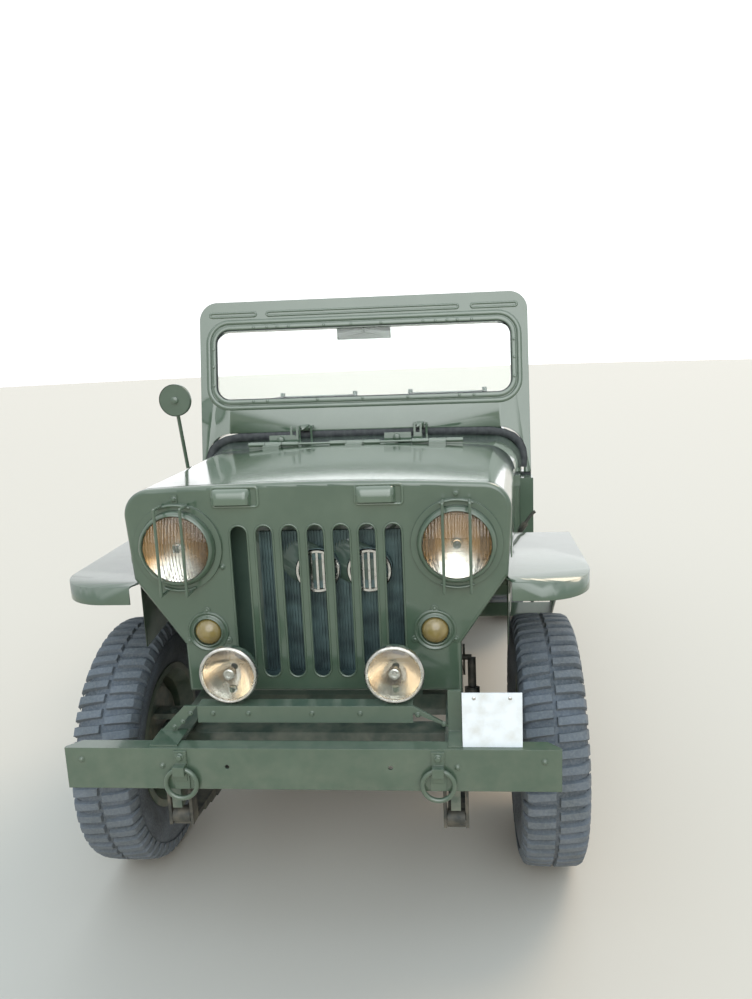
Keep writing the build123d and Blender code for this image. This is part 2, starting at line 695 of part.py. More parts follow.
def facing(face, front, back):
    """Solid from a face in X and Z, between two stations."""
    return extrude(Plane.XZ.offset(-at(back)) * face, amount=back - front)


def grille():
    """Pressed panel with a rounded rim, slots and a flange set in under the hood."""
    panel = facing(grille_outline(0), GRILLE_Y, GRILLE_Y + GRILLE_RIM_DEPTH)
    rim = panel.faces().sort_by(Axis.Y)[0].outer_wire().edges()
    panel = fillet(rim, GRILLE_RIM_ROUND)
    panel -= facing(grille_outline(SHEET + 2), GRILLE_Y + SHEET, GRILLE_Y + GRILLE_RIM_DEPTH + 1)
    under = SHEET + RUNNING_CLEARANCE
    band = grille_outline(under) - grille_outline(under + SHEET)
    link = grille_outline(SHEET) - grille_outline(under + SHEET)
    back = GRILLE_Y + GRILLE_RIM_DEPTH
    panel += facing(band, back - SHEET, GRILLE_Y + GRILLE_FLANGE)
    panel += facing(link, back - SHEET, back)
    panel += both_sides(disc(HEADLAMP_X, GRILLE_Y - LENS_SEAT, GRILLE_Y, HEADLAMP_Z, HEADLAMP_PRESSING / 2))
    panel -= both_sides(disc(HEADLAMP_X, GRILLE_Y - LENS_SEAT - 1, GRILLE_Y + 1, HEADLAMP_Z,
                             HEADLAMP_RIM / 2 + SEAT_GAP))
    tall = SLOT_TOP - SLOT_BOTTOM
    slot = SlotOverall(tall, SLOT_WIDTH, rotation=90)
    for i in range(SLOTS):
        x = (i - (SLOTS - 1) / 2) * SLOT_PITCH
        panel -= facing(Pos(x, (SLOT_TOP + SLOT_BOTTOM) / 2) * slot, GRILLE_Y - 1, GRILLE_Y + SHEET + 1)
    for x in SCOOP_X:
        lip = GRILLE_Y - SCOOP_DEPTH
        panel += slab_yz([(GRILLE_Y + 1, SCOOP_TOP), (lip, SCOOP_TOP - SCOOP_DEPTH), (lip, SCOOP_BOTTOM),
                          (GRILLE_Y + 1, SCOOP_BOTTOM)], x - SCOOP_WIDTH / 2, x + SCOOP_WIDTH / 2)
    return panel


def radiator():
    core = box(-250, 250, -200, -140, 660, 1120)
    tank_top = box(-262, 262, -206, -134, 1120, 1180)
    tank_bottom = box(-262, 262, -206, -134, RAIL_TOP, 660)
    horn = both_sides(disc(64, -235, -200, 985, 58))
    return core + tank_top + tank_bottom + horn


# Hood
def hood_section(half, top, crown, corner, low, inset):
    """Section in X and Z: crowned top, round corners, straight sides."""
    w = half - inset
    z = top - crown - inset
    c = corner - inset
    arc = ThreePointArc((c - w, z), (0, top - inset), (w - c, z))
    right = RadiusArc((w - c, z), (w, z - c), c)
    left = RadiusArc((-w, z - c), (c - w, z), c)
    skirt = Polyline((w, z - c), (w, low), (-w, low), (-w, z - c))
    return make_face([arc, right, skirt, left])


def between(front, rear, share):
    """Value on the straight line from front to rear, past them too."""
    return front + (rear - front) * share


def hood_form(inset, stretch):
    front = GRILLE_Y + GRILLE_RIM_DEPTH + RUNNING_CLEARANCE
    length = HOOD_REAR_Y - front
    low = 1 if inset else 0
    faces = []
    for share in (-stretch / length, 1 + stretch / length):
        top = between(GRILLE_TOP, HOOD_REAR_Z, share)
        face = hood_section(between(GRILLE_HALF_WIDTH, HOOD_REAR_HALF_WIDTH, share), top,
                            between(GRILLE_CROWN, HOOD_REAR_CROWN, share),
                            between(GRILLE_CORNER, HOOD_REAR_CORNER, share), top - HOOD_SIDE_DROP - low, inset)
        faces.append(Plane.XZ.offset(-at(between(front, HOOD_REAR_Y, share))) * face)
    return loft(faces, ruled=True)


def hinge_knuckle(x, length):
    """Barrel on the hood's hinge line."""
    start = (x - length / 2, HOOD_PIN_Y, HOOD_PIN_Z)
    end = (x + length / 2, HOOD_PIN_Y, HOOD_PIN_Z)
    return rod(start, end, HOOD_KNUCKLE_RADIUS)


def hood():
    shell = hood_form(0, 0)
    half = HOOD_KNUCKLE_LENGTH / 2
    for x in (-HOOD_HINGE_X, 0, HOOD_HINGE_X):
        leaf_low = HOOD_PIN_Z - HOOD_KNUCKLE_RADIUS
        shell += box(x - half, x + half, HOOD_REAR_Y - 40, HOOD_PIN_Y, HOOD_REAR_Z - 20, leaf_low + 2 * SHEET)
        shell += hinge_knuckle(x, HOOD_KNUCKLE_LENGTH)
        shell -= rod((x - half - 1, HOOD_PIN_Y, HOOD_PIN_Z), (x + half + 1, HOOD_PIN_Y, HOOD_PIN_Z),
                     HOOD_HINGE_PIN_RADIUS + SEAT_GAP)
    return shell - hood_form(SHEET, 1)


# Fenders
def fender_form(inset, down):
    out = FENDER_HALF_WIDTH - inset
    front = FENDER_FRONT_Y + inset
    corner = FENDER_PLAN_CORNER - inset
    top = FENDER_TOP - inset
    tail = (FENDER_TAIL_Y - inset, FENDER_TAIL_Z + inset)
    side = [(front, FENDER_TOP - FENDER_LIP - down), (front, top), (FENDER_KNEE_Y, top), tail,
            (tail[0] - 40, tail[1] - 40 - down), (FENDER_KNEE_Y - 30, FENDER_TOP - FENDER_LIP - down)]
    body = slab_yz(side, FENDER_INNER_X - down, out)
    plan = FilletPolyline((FENDER_INNER_X - 10, at(front)), (out, at(front)), (out, at(FENDER_TAIL_Y + 50)),
                          radius=corner)
    close = Polyline(plan @ 1, (FENDER_INNER_X - 10, at(FENDER_TAIL_Y + 50)), plan @ 0)
    prism = extrude(Plane.XY.offset(400) * make_face([plan, close]), amount=700)
    return body & prism


def fender():
    shell = fender_form(0, 0) - fender_form(SHEET, 1)
    shell -= facing(grille_outline(-SEAT_GAP), GRILLE_Y - 1, GRILLE_Y + GRILLE_FLANGE)
    rear_half = HOOD_REAR_HALF_WIDTH - SHEET - RUNNING_CLEARANCE
    front_half = GRILLE_HALF_WIDTH - SHEET - RUNNING_CLEARANCE
    top = HOOD_REAR_Z - HOOD_SIDE_DROP + 40
    front = GRILLE_Y + GRILLE_FLANGE
    rear = COWL_FRONT_Y - SEAT_GAP
    outer = [(front_half, front), (rear_half, rear)]
    inner = [(rear_half - SHEET, rear), (front_half - SHEET, front)]
    apron = slab_xy(outer + inner, APRON_BOTTOM, top)
    return shell + apron - cowl_form(-SEAT_GAP, 0) - toe_board(SEAT_GAP) - tub_block()


# Cowl: firewall, top, flaring sides and dash
def cowl_form(inset, stretch):
    """Solid under the cowl's skin: flared up to the windshield, straight behind."""
    front_top = COWL_TOP
    front = hood_section(HOOD_REAR_HALF_WIDTH, front_top, COWL_CROWN, HOOD_REAR_CORNER, FLOOR_Z, inset)
    rear = hood_section(COWL_HALF_WIDTH, COWL_TOP, COWL_CROWN, COWL_CORNER, FLOOR_Z, inset)
    first = COWL_FRONT_Y + inset
    sections = [Plane.XZ.offset(-at(first)) * front, Plane.XZ.offset(-at(COWL_FLARE_Y)) * rear]
    return loft(sections, ruled=True) + facing(rear, COWL_FLARE_Y, COWL_REAR_Y + stretch)


def yoke():
    """Upright fork on the cowl's top, with its foot in the skin."""
    near, far = POST_YOKE_X - 15, POST_YOKE_X + 15
    foot = box(near, far, POST_YOKE_Y - 9, POST_YOKE_Y + 9, COWL_TOP - COWL_CROWN, POST_YOKE_TOP)
    mouth = box(near + 8, far - 8, POST_YOKE_Y - 10, POST_YOKE_Y + 10, POST_YOKE_TOP - 34, POST_YOKE_TOP + 1)
    return foot - mouth


def cowl():
    inside = cowl_form(TUB_SHEET, 1)
    whole = cowl_form(0, 0) - inside
    dash = cowl_form(TUB_SHEET - 1, 0)
    dash &= box(-COWL_HALF_WIDTH, COWL_HALF_WIDTH, DASH_Y - SHEET, DASH_Y, DASH_BOTTOM, COWL_TOP)
    dials = disc(-120, DASH_Y, DASH_Y + 14, 1085, 58) + disc(0, DASH_Y, DASH_Y + 12, 1110, 26)
    whole += dash + dials + both_sides(yoke())
    low = COWL_TOP - COWL_CROWN
    for x in (-SCREEN_HINGE_X, SCREEN_HINGE_X):
        for side in (-1, 1):
            near = x + side * 20
            far = x + side * 28
            left, right = min(near, far), max(near, far)
            whole += box(left, right, SCREEN_PIN_Y - 12, SCREEN_PIN_Y + 10, low, SCREEN_PIN_Z + 8)
        start = (x - 30, SCREEN_PIN_Y, SCREEN_PIN_Z)
        end = (x + 30, SCREEN_PIN_Y, SCREEN_PIN_Z)
        whole += rod(start, end, HINGE_PIN_RADIUS)
    reach = HOOD_HINGE_X + HOOD_KNUCKLE_LENGTH
    whole += rod((-reach, HOOD_PIN_Y, HOOD_PIN_Z), (reach, HOOD_PIN_Y, HOOD_PIN_Z), HOOD_HINGE_PIN_RADIUS)
    for x in (-HOOD_HINGE_X, 0, HOOD_HINGE_X):
        for side in (-1, 1):
            centre = x + side * (HOOD_KNUCKLE_LENGTH + 2)
            half = HOOD_KNUCKLE_LENGTH / 2
            whole += hinge_knuckle(centre, HOOD_KNUCKLE_LENGTH)
            near, far = centre - half, centre + half
            whole += box(near, far, HOOD_PIN_Y, COWL_FRONT_Y + 40, low - 2, HOOD_PIN_Z - SHEET)
    whole -= inside
    return whole - rod(column_point(0), column_point(COLUMN_LENGTH), COLUMN_RADIUS + SEAT_GAP)


# Windshield
SCREEN = Plane(origin=(0, at(SCREEN_Y), SCREEN_Z), x_dir=(1, 0, 0),
               z_dir=(0, -cos(radians(SCREEN_RAKE)), sin(radians(SCREEN_RAKE))))


def up_screen(z):
    """Distance up the raked windshield plane for a height."""
    return (z - SCREEN_Z) / cos(radians(SCREEN_RAKE))


def glass_face(grow):
    low = up_screen(GLASS_BOTTOM_Z) - grow
    high = up_screen(GLASS_TOP_Z) + grow
    half = GLASS_HALF_WIDTH + grow
    return Pos(0, (low + high) / 2) * RectangleRounded(2 * half, high - low, GLASS_CORNER + grow)


def windshield_frame():
    half = SCREEN_HALF_WIDTH
    top = up_screen(SCREEN_TOP_Z)
    leg = up_screen(SCREEN_LEG_Z)
    arch = up_screen(SCREEN_ARCH_Z)
    points = [(half, leg), (half, top), (-half, top), (-half, leg), (-SCREEN_LEG_HALF_WIDTH, leg),
              (-SCREEN_ARCH_HALF_WIDTH, arch - SCREEN_ARCH_CORNER), (-SCREEN_ARCH_HALF_WIDTH, arch),
              (SCREEN_ARCH_HALF_WIDTH, arch), (SCREEN_ARCH_HALF_WIDTH, arch - SCREEN_ARCH_CORNER),
              (SCREEN_LEG_HALF_WIDTH, leg)]
    bend = SCREEN_ARCH_CORNER - 1
    radii = [1, SCREEN_CORNER, SCREEN_CORNER, 1, 1, 1, bend, bend, 1, 1]
    outline = make_face(FilletPolyline(*points, radius=radii, close=True))
    body = extrude(SCREEN.offset(-SCREEN_THICKNESS / 2) * (outline - glass_face(0)), amount=SCREEN_THICKNESS)
    for x in (-SCREEN_HINGE_X, SCREEN_HINGE_X):
        lug = box(x - 14, x + 14, SCREEN_PIN_Y - 11, SCREEN_PIN_Y + 40, SCREEN_PIN_Z - 11, SCREEN_PIN_Z + 11)
        lug -= rod((x - 30, SCREEN_PIN_Y, SCREEN_PIN_Z), (x + 30, SCREEN_PIN_Y, SCREEN_PIN_Z),
                   HINGE_PIN_RADIUS + SEAT_GAP)
        body += lug
    stem = rod((0, 925, 1660), (0, 990, 1640), 5)
    glass = box(-110, 110, 985, 997, 1612, 1668)
    return body + stem + glass


def windshield_glass():
    return extrude(SCREEN.offset(-GLASS_THICKNESS / 2) * glass_face(0), amount=GLASS_THICKNESS)


# Tub
def side_wall(x0, x1):
    """Cut-down side from the cowl to the rear corner, wheel arch cut out."""
    step = TUB_BOTTOM + TUB_REAR_STEP
    outline = [(TUB_FRONT_Y, TUB_BOTTOM), (TUB_FRONT_Y, COWL_SIDE_TOP), (DOOR_FRONT_Y - 50, COWL_SIDE_TOP),
               (DOOR_FRONT_Y - 20, COWL_SIDE_TOP - 40),
               (DOOR_FRONT_Y + 20, DOOR_SILL + 60), (DOOR_FRONT_Y + 80, DOOR_SILL),
               (DOOR_REAR_Y - 90, DOOR_SILL), (DOOR_REAR_Y - 20, DOOR_SILL + 60),
               (DOOR_REAR_Y + 10, TUB_TOP - 60), (DOOR_REAR_Y + 70, TUB_TOP),
               (TUB_REAR_Y, TUB_TOP), (TUB_REAR_Y, step), (WHEELBASE + ARCH_RADIUS, step)]
    steps = 8
    for i in range(1, steps):
        angle = radians(180 * i / steps)
        outline.append((WHEELBASE + ARCH_RADIUS * cos(angle), step + (ARCH_TOP - step) * sin(angle) ** 0.6))
    outline.append((WHEELBASE - ARCH_RADIUS, TUB_BOTTOM))
    return slab_yz(outline, x0, x1)


def tub_block():
    """Space behind the tub's front edge, out to its side."""
    near, far = FENDER_INNER_X - 1, TUB_HALF_WIDTH + SEAT_GAP
    return box(near, far, TUB_FRONT_Y - SEAT_GAP, COWL_REAR_Y, TUB_BOTTOM - 1, COWL_SIDE_TOP)


def tub_side():
    """Cowl side and rear quarter, two pressings that butt under the door."""
    out = TUB_HALF_WIDTH
    inner = HOOD_REAR_HALF_WIDTH
    wall = side_wall(out - TUB_SHEET, out)
    wall += box(inner, out, TUB_FRONT_Y, TUB_FRONT_Y + TUB_SHEET, FLOOR_Z, COWL_SIDE_TOP)
    wall += box(inner, out, TUB_FRONT_Y, DOOR_FRONT_Y - 50, COWL_SIDE_TOP - TUB_SHEET, COWL_SIDE_TOP)
    near = TAILGATE_WIDTH / 2 + 2
    wall += box(near, out, TUB_REAR_Y - TUB_SHEET, TUB_REAR_Y, TUB_BOTTOM + TUB_REAR_STEP, TUB_TOP)
    wall += box(out - TUB_LIP, out, DOOR_REAR_Y + 70, TUB_REAR_Y, TUB_TOP - TUB_SHEET, TUB_TOP)
    wall += box(out - TUB_LIP, out, DOOR_FRONT_Y + 80, DOOR_REAR_Y - 90, DOOR_SILL - TUB_SHEET, DOOR_SILL)
    seam = DOOR_REAR_Y - TUB_JOIN_BEFORE_DOOR_REAR
    wall -= box(0, out + 1, seam, seam + SEAT_GAP, TUB_BOTTOM - 1, TUB_TOP)
    flare = box(0, COWL_HALF_WIDTH + SEAT_GAP, COWL_FLARE_Y, DOOR_FRONT_Y, FLOOR_Z, COWL_TOP)
    return wall - cowl_form(-SEAT_GAP, 0) - flare


def toe_board(grow):
    """Front of the floor, under the cowl's flaring sides."""
    front = HOOD_REAR_HALF_WIDTH + grow
    rear = COWL_HALF_WIDTH - 10 + grow
    nose = COWL_FRONT_Y - grow
    plan = [(-front, nose), (front, nose), (rear, TUB_FRONT_Y), (-rear, TUB_FRONT_Y)]
    return slab_xy(plan, FLOOR_Z - TUB_SHEET - grow, FLOOR_Z)


def tub_floor():
    half = TUB_HALF_WIDTH - TUB_SHEET
    low = FLOOR_Z - TUB_SHEET
    floor = box(-half, half, TUB_FRONT_Y, TUB_REAR_Y - TUB_SHEET, low, FLOOR_Z)
    lip = toe_board(0)
    outer = box(WHEELBOX_X, half, WHEELBASE - WHEELBOX_HALF, WHEELBASE + WHEELBOX_HALF, low, WHEELBOX_TOP)
    inner = box(WHEELBOX_X + TUB_SHEET, half + 1, WHEELBASE - WHEELBOX_HALF + TUB_SHEET,
                WHEELBASE + WHEELBOX_HALF - TUB_SHEET, low - 1, WHEELBOX_TOP - TUB_SHEET)
    whole = floor + lip + both_sides(outer)
    whole -= both_sides(inner)
    ledge = box(-TAILGATE_WIDTH / 2, TAILGATE_WIDTH / 2, TUB_REAR_Y - TUB_SHEET, TUB_REAR_Y, RAIL_TOP,
                TAILGATE_BOTTOM - 14)
    stations = (1050, DOOR_REAR_Y + 20, TUB_REAR_Y - 92)
    bearers = None
    for station in stations:
        one = box(-half + 60, half - 60, station - 25, station + 25, RAIL_TOP, low)
        bearers = one if bearers is None else bearers + one
    return whole + ledge + bearers


GATE_PIN_Z = TAILGATE_BOTTOM - 12
GATE_PIN_Y = TUB_REAR_Y + 16


def tailgate():
    half = TAILGATE_WIDTH / 2 - 6
    y0 = TUB_REAR_Y - TUB_SHEET
    panel = box(-half, half, y0, y0 + TUB_SHEET, TAILGATE_BOTTOM, TUB_TOP)
    for z in (TAILGATE_BOTTOM, TUB_TOP - 30):
        panel += box(-half, half, y0, y0 + TAILGATE_THICKNESS, z, z + 30)
    for x in (-half, -15, half - 30):
        panel += box(x, x + 30, y0, y0 + TAILGATE_THICKNESS, TAILGATE_BOTTOM, TUB_TOP)
    for x in (-300, 300):
        barrel = rod((x - 25, GATE_PIN_Y, GATE_PIN_Z), (x + 25, GATE_PIN_Y, GATE_PIN_Z), HINGE_KNUCKLE_RADIUS)
        panel += barrel + box(x - 25, x + 25, GATE_PIN_Y - 8, GATE_PIN_Y + 7, GATE_PIN_Z, TAILGATE_BOTTOM + 10)
        panel -= rod((x - 60, GATE_PIN_Y, GATE_PIN_Z), (x + 60, GATE_PIN_Y, GATE_PIN_Z),
                     HINGE_PIN_RADIUS + SEAT_GAP)
    return panel


def gate_hinge():
    """Fixed lugs and pins of the tailgate, on the ledge below it."""
    whole = None
    for x in (-300, 300):
        one = rod((x - 50, GATE_PIN_Y, GATE_PIN_Z), (x + 50, GATE_PIN_Y, GATE_PIN_Z), HINGE_PIN_RADIUS)
        for side in (-1, 1):
            near = x + side * 31
            far = x + side * 50
            left, right = min(near, far), max(near, far)
            one += box(left, right, TUB_REAR_Y, GATE_PIN_Y + 6.5, GATE_PIN_Z - 30, GATE_PIN_Z + 6.5)
        whole = one if whole is None else whole + one
    return whole


def rear_fittings():
    """Bumperettes on the rear cross member and the drawbar between them."""
    back = REAR_OVERHANG + WHEELBASE
    base = TUB_REAR_Y + 20
    near, far, wall = 250, 520, 5
    low, high = RAIL_TOP - RAIL_HEIGHT - 10, RAIL_TOP - 30
    web = back - BUMPERETTE_DEPTH - wall
    bar = box(near, far, web, web + wall, low, high) + box(near, far, web, back - wall, high - wall, high)
    bar += box(near, far, web, back - wall, low, low + wall)
    stay = box(RAIL_OUTER_X - 60, RAIL_OUTER_X, base, web + 3, low + 10, high - 10)
    draw = box(-DRAWBAR_WIDTH / 2, DRAWBAR_WIDTH / 2, base, back, DRAWBAR_Z - DRAWBAR_THICKNESS, DRAWBAR_Z)
    draw -= rod((0, back - DRAWBAR_HOLE_BACK, DRAWBAR_Z - 40), (0, back - DRAWBAR_HOLE_BACK, DRAWBAR_Z + 40),
                DRAWBAR_HOLE_RADIUS)
    return both_sides(bar + stay) + draw


def tail_lamps():
    lamp = disc(560, TUB_REAR_Y, TUB_REAR_Y + 34, 860, 44)
    return both_sides(lamp)


# Seats
BACK_SLOPE = tan(radians(BACK_RAKE))
SEAT_BASE = CUSHION_Z - SEAT_TUBE
UPRIGHT_Y = CUSHION_FRONT_Y + CUSHION_LENGTH + BACK_THICKNESS


def upright(z):
    """Station of the backrest tubes' axis at a height."""
    return UPRIGHT_Y + (z - SEAT_BASE) * BACK_SLOPE


def seat_frame(x):
    """Bent side tubes with thinner cross tubes and rear legs."""
    half = CUSHION_WIDTH / 2 - SEAT_INSET
    front = CUSHION_FRONT_Y + SEAT_INSET
    back = CUSHION_FRONT_Y + CUSHION_LENGTH - SEAT_INSET
    base = SEAT_BASE
    top = CUSHION_Z + BACK_HEIGHT
    thin = SEAT_TUBE - 2
    low_cross = (front + 2 * SEAT_TUBE, base)
    high_cross = (upright(top - 2 * SEAT_TUBE), top - 2 * SEAT_TUBE)
    whole = None
    for y, z in (low_cross, (back, base), high_cross):
        cross = rod((x - half, y, z), (x + half, y, z), thin)
        whole = cross if whole is None else whole + cross
    for px in (x - half, x + half):
        whole += tube([(px, front, FLOOR_Z), (px, front, base), (px, upright(base), base),
                       (px, upright(top), top)], SEAT_BEND, SEAT_TUBE)
        whole += rod((px, back, FLOOR_Z), (px, back, base), thin)
    return whole


def seat_pads(x):
    half = CUSHION_WIDTH / 2
    cushion = box(x - half, x + half, CUSHION_FRONT_Y, CUSHION_FRONT_Y + CUSHION_LENGTH,
                  CUSHION_Z + SEAT_GAP, CUSHION_Z + CUSHION_THICKNESS)
    reach = SEAT_TUBE / cos(radians(BACK_RAKE)) + SEAT_GAP
    z0 = CUSHION_Z + CUSHION_THICKNESS + 10
    z1 = CUSHION_Z + BACK_HEIGHT
    back = slab_yz([(upright(z0) - reach - BACK_THICKNESS, z0), (upright(z1) - reach - BACK_THICKNESS, z1),
                    (upright(z1) - reach, z1), (upright(z0) - reach, z0)], x - half, x + half)
    return fillet(cushion.edges(), PAD_ROUND) + fillet(back.edges(), PAD_ROUND)


def bench():
    """Rear bench between the wheel boxes: pads only, on a plain frame."""
    half = WHEELBOX_X - BENCH_SIDE_GAP
    pad = box(-half, half, BENCH_Y, BENCH_Y + BENCH_DEPTH, BENCH_Z, BENCH_Z + BENCH_PAD)
    rear = BENCH_UPRIGHT_Y - SEAT_TUBE - SEAT_GAP
    back = box(-half, half, rear - BENCH_BACK, rear, BENCH_Z + BENCH_PAD + 10, BENCH_BACK_TOP)
    return fillet(pad.edges(), PAD_ROUND) + fillet(back.edges(), PAD_ROUND)


def bench_frame():
    half = WHEELBOX_X - BENCH_SIDE_GAP - SEAT_INSET
    rail = SEAT_TUBE - 2
    z = BENCH_Z - rail - SEAT_GAP
    front = BENCH_Y + SEAT_INSET
    cross_top = BENCH_BACK_TOP - 2 * SEAT_TUBE
    whole = None
    for y, height in ((front + 2 * SEAT_TUBE, z), (BENCH_UPRIGHT_Y, cross_top)):
        cross = rod((-half, y, height), (half, y, height), rail - 2)
        whole = cross if whole is None else whole + cross
    for x in (-half, half):
        whole += tube([(x, front, FLOOR_Z), (x, front, z), (x, BENCH_UPRIGHT_Y, z)], SEAT_BEND, rail)
        whole += rod((x, BENCH_UPRIGHT_Y, FLOOR_Z), (x, BENCH_UPRIGHT_Y, BENCH_BACK_TOP), SEAT_TUBE)
    return whole


def fuel_tank():
    start = CUSHION_FRONT_Y + 30
    tank = box(DRIVER_X - 180, DRIVER_X + 180, start, start + 360, FLOOR_Z, 790)
    return fillet(tank.edges(), 20)


# Steering column along its own axis
TILT = radians(COLUMN_TILT)


def column_point(back):
    """Point on the column's axis, a distance down from the steering wheel."""
    return (DRIVER_X, COLUMN_TOP_Y - back * cos(TILT), COLUMN_TOP_Z - back * sin(TILT))


def steering_wheel():
    x, y, z = column_point(0)
    hub = Plane(origin=(x, at(y), z), x_dir=(1, 0, 0), z_dir=(0, cos(TILT), sin(TILT)))
    rim = Torus(WHEEL_RIM_RADIUS, WHEEL_RIM_ROD)
    boss = Pos(0, 0, BOSS_LENGTH / 2 - BOSS_DROP) * Cylinder(32, BOSS_LENGTH)
    whole = rim + boss
    for i in range(3):
        spoke = Pos(WHEEL_RIM_RADIUS / 2, 0, -6) * Rot(Y=90) * Cylinder(7, WHEEL_RIM_RADIUS - 4)
        whole += Rot(Z=90 + 120 * i) * spoke
    return hub * whole


def column():
    tube = rod(column_point(BOSS_DROP + SEAT_GAP), column_point(COLUMN_LENGTH), COLUMN_RADIUS)
    x, y, z = column_point(COLUMN_LENGTH)
    return tube + box(x - 50, x + 50, y - 90, y + 30, RAIL_TOP, z + 40)


def levers():
    """Gear lever, transfer levers, pedals and hand brake."""
    # x, foot station, head station, head height, rod and knob radius
    sticks = [(0, 960, 1020, 990, 8, 22), (40, 1000, 1030, 860, 7, 16), (78, 1000, 1030, 860, 7, 16)]
    whole = None
    for x, foot, head, z, radius, knob in sticks:
        one = rod((x, foot, FLOOR_Z + 12), (x, head, z), radius) + Pos(x, at(head), z) * Sphere(knob)
        one += Pos(x, at(foot), FLOOR_Z + 10) * Cylinder(18, 20)
        whole = one if whole is None else whole + one
    for x in (DRIVER_X - 90, DRIVER_X + 20, DRIVER_X + 110):
        whole += rod((x, 840, FLOOR_Z + 12), (x, 790, 740), 7) + box(x - 32, x + 32, 770, 800, 720, 780)
        whole += Pos(x, at(840), FLOOR_Z + 10) * Cylinder(14, 20)
    return whole


# Running gear
def engine():
    half = ENGINE_HALF_WIDTH
    block = box(-half, half, ENGINE_FRONT_Y, ENGINE_REAR_Y, ENGINE_BOTTOM, ENGINE_TOP)
    return fillet(block.edges().filter_by(Axis.Y), 40)


def driveline():
    bell_end = COWL_FRONT_Y - RUNNING_CLEARANCE
    bell = rod((0, ENGINE_REAR_Y, 590), (0, bell_end, 590), 140)
    gears = rod((0, bell_end - 10, 505), (0, 900, 490), 85)
    transfer = fillet(box(-250, 110, CRADLE_Y - 105, CRADLE_Y + 105, CRADLE_Z + 14, 590).edges(), 30)
    front = rod((DIFF_X, 195, TYRE_RADIUS + 2), (DIFF_X, 880, 440), 28)
    rear = rod((DIFF_X, 1090, 440), (DIFF_X, WHEELBASE - 195, TYRE_RADIUS + 2), 28)
    return bell + gears + transfer + front + rear


def exhaust():
    x, outlet_y, outlet_z = EXHAUST_X, ENGINE_REAR_Y - 170, 700
    route = [(x, outlet_y, outlet_z), (x, ENGINE_REAR_Y + 50, PIPE_Z), (x, CAN_Y + 10, PIPE_Z)]
    whole = rod((ENGINE_HALF_WIDTH, outlet_y, outlet_z), route[0], PIPE_RADIUS)
    for start, end in zip(route, route[1:]):
        whole += rod(start, end, PIPE_RADIUS) + Pos(start[0], at(start[1]), start[2]) * Sphere(PIPE_RADIUS)
    can = rod((x, CAN_Y, PIPE_Z), (x, CAN_Y + CAN_LENGTH, PIPE_Z), CAN_RADIUS)
    tail = rod((x, CAN_Y + CAN_LENGTH, PIPE_Z), (x, CAN_Y + CAN_LENGTH + 100, PIPE_Z), PIPE_RADIUS - 2)
    return whole + can + tail


def side_mirror():
    """Round mirror on a bent arm, clamped on the windshield's right leg."""
    face = disc(MIRROR_X, MIRROR_Y, MIRROR_Y + 12, MIRROR_Z, MIRROR_RADIUS)
    leg_y = SCREEN_Y + (MIRROR_FOOT_Z - SCREEN_Z) * tan(radians(SCREEN_RAKE))
    foot = (-SCREEN_HALF_WIDTH - MIRROR_ARM_RADIUS - SEAT_GAP, leg_y, MIRROR_FOOT_Z)
    arm = tube([(MIRROR_X, MIRROR_Y + 6, MIRROR_Z), (MIRROR_X + 5, MIRROR_BEND_Y, MIRROR_BEND_Z), foot], 25,
               MIRROR_ARM_RADIUS)
    outer, leg_side = foot[0] - 12, -SCREEN_HALF_WIDTH - SEAT_GAP
    clamp = box(outer, leg_side, leg_y - 12, leg_y + 16, foot[2] - 16, foot[2] + 16)
    return face + arm + clamp


def main():
    os.makedirs("parts", exist_ok=True)
    place_wheels()
    save("front_axle", front_axle())
    save("rear_axle", rear_axle())
    save("knuckle_left", knuckle())
    save("knuckle_right", other_side(knuckle()))
    save("tie_rod", tie_rod())
    save("ladder_frame", frame())
    springs = spring(0) + spring(WHEELBASE) + damper(0, 1) + damper(WHEELBASE, -1)
    save("springs_and_dampers", both_sides(springs))
    save("front_bumper", front_bumper() + both_sides(tow_ring()))
    save("lamp_bar", lamp_bar())
    save("number_plate", plate())
    save("lamp_bowls", lamp_bowls())
    save("lamp_lenses", lamp_lenses())
    save("marker_lamps", marker_lamps())
    save("lamp_guards", lamp_guards())
    save("grille", grille())
    save("radiator", radiator())
    save("hood", hood())
    save("fender_left", fender())
    save("fender_right", other_side(fender()))
    save("cowl", cowl())
    save("windshield_frame", windshield_frame())
    save("windshield_glass", windshield_glass())
    save("side_mirror", side_mirror())
    save("tub_left", tub_side())
    save("tub_right", other_side(tub_side()))
    save("tub_floor", tub_floor() + gate_hinge())
    save("tailgate", tailgate())
    save("rear_fittings", rear_fittings())
    save("tail_lamps", tail_lamps())
    save("seat_frames", seat_frame(DRIVER_X) + seat_frame(-DRIVER_X))
    save("driver_pads", seat_pads(DRIVER_X))
    save("passenger_pads", seat_pads(-DRIVER_X))
    save("bench_frame", bench_frame())
    save("bench_pads", bench())
    save("fuel_tank", fuel_tank())
    save("steering_wheel", steering_wheel())
    save("steering_column", column())
    save("levers", levers())
    save("engine", engine())
    save("driveline", driveline())
    save("exhaust", exhaust())


main()
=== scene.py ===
from math import atan2, cos, pi, radians, sin, sqrt

import bmesh
import bpy
from mathutils import Matrix, Vector
from mathutils.bvhtree import BVHTree


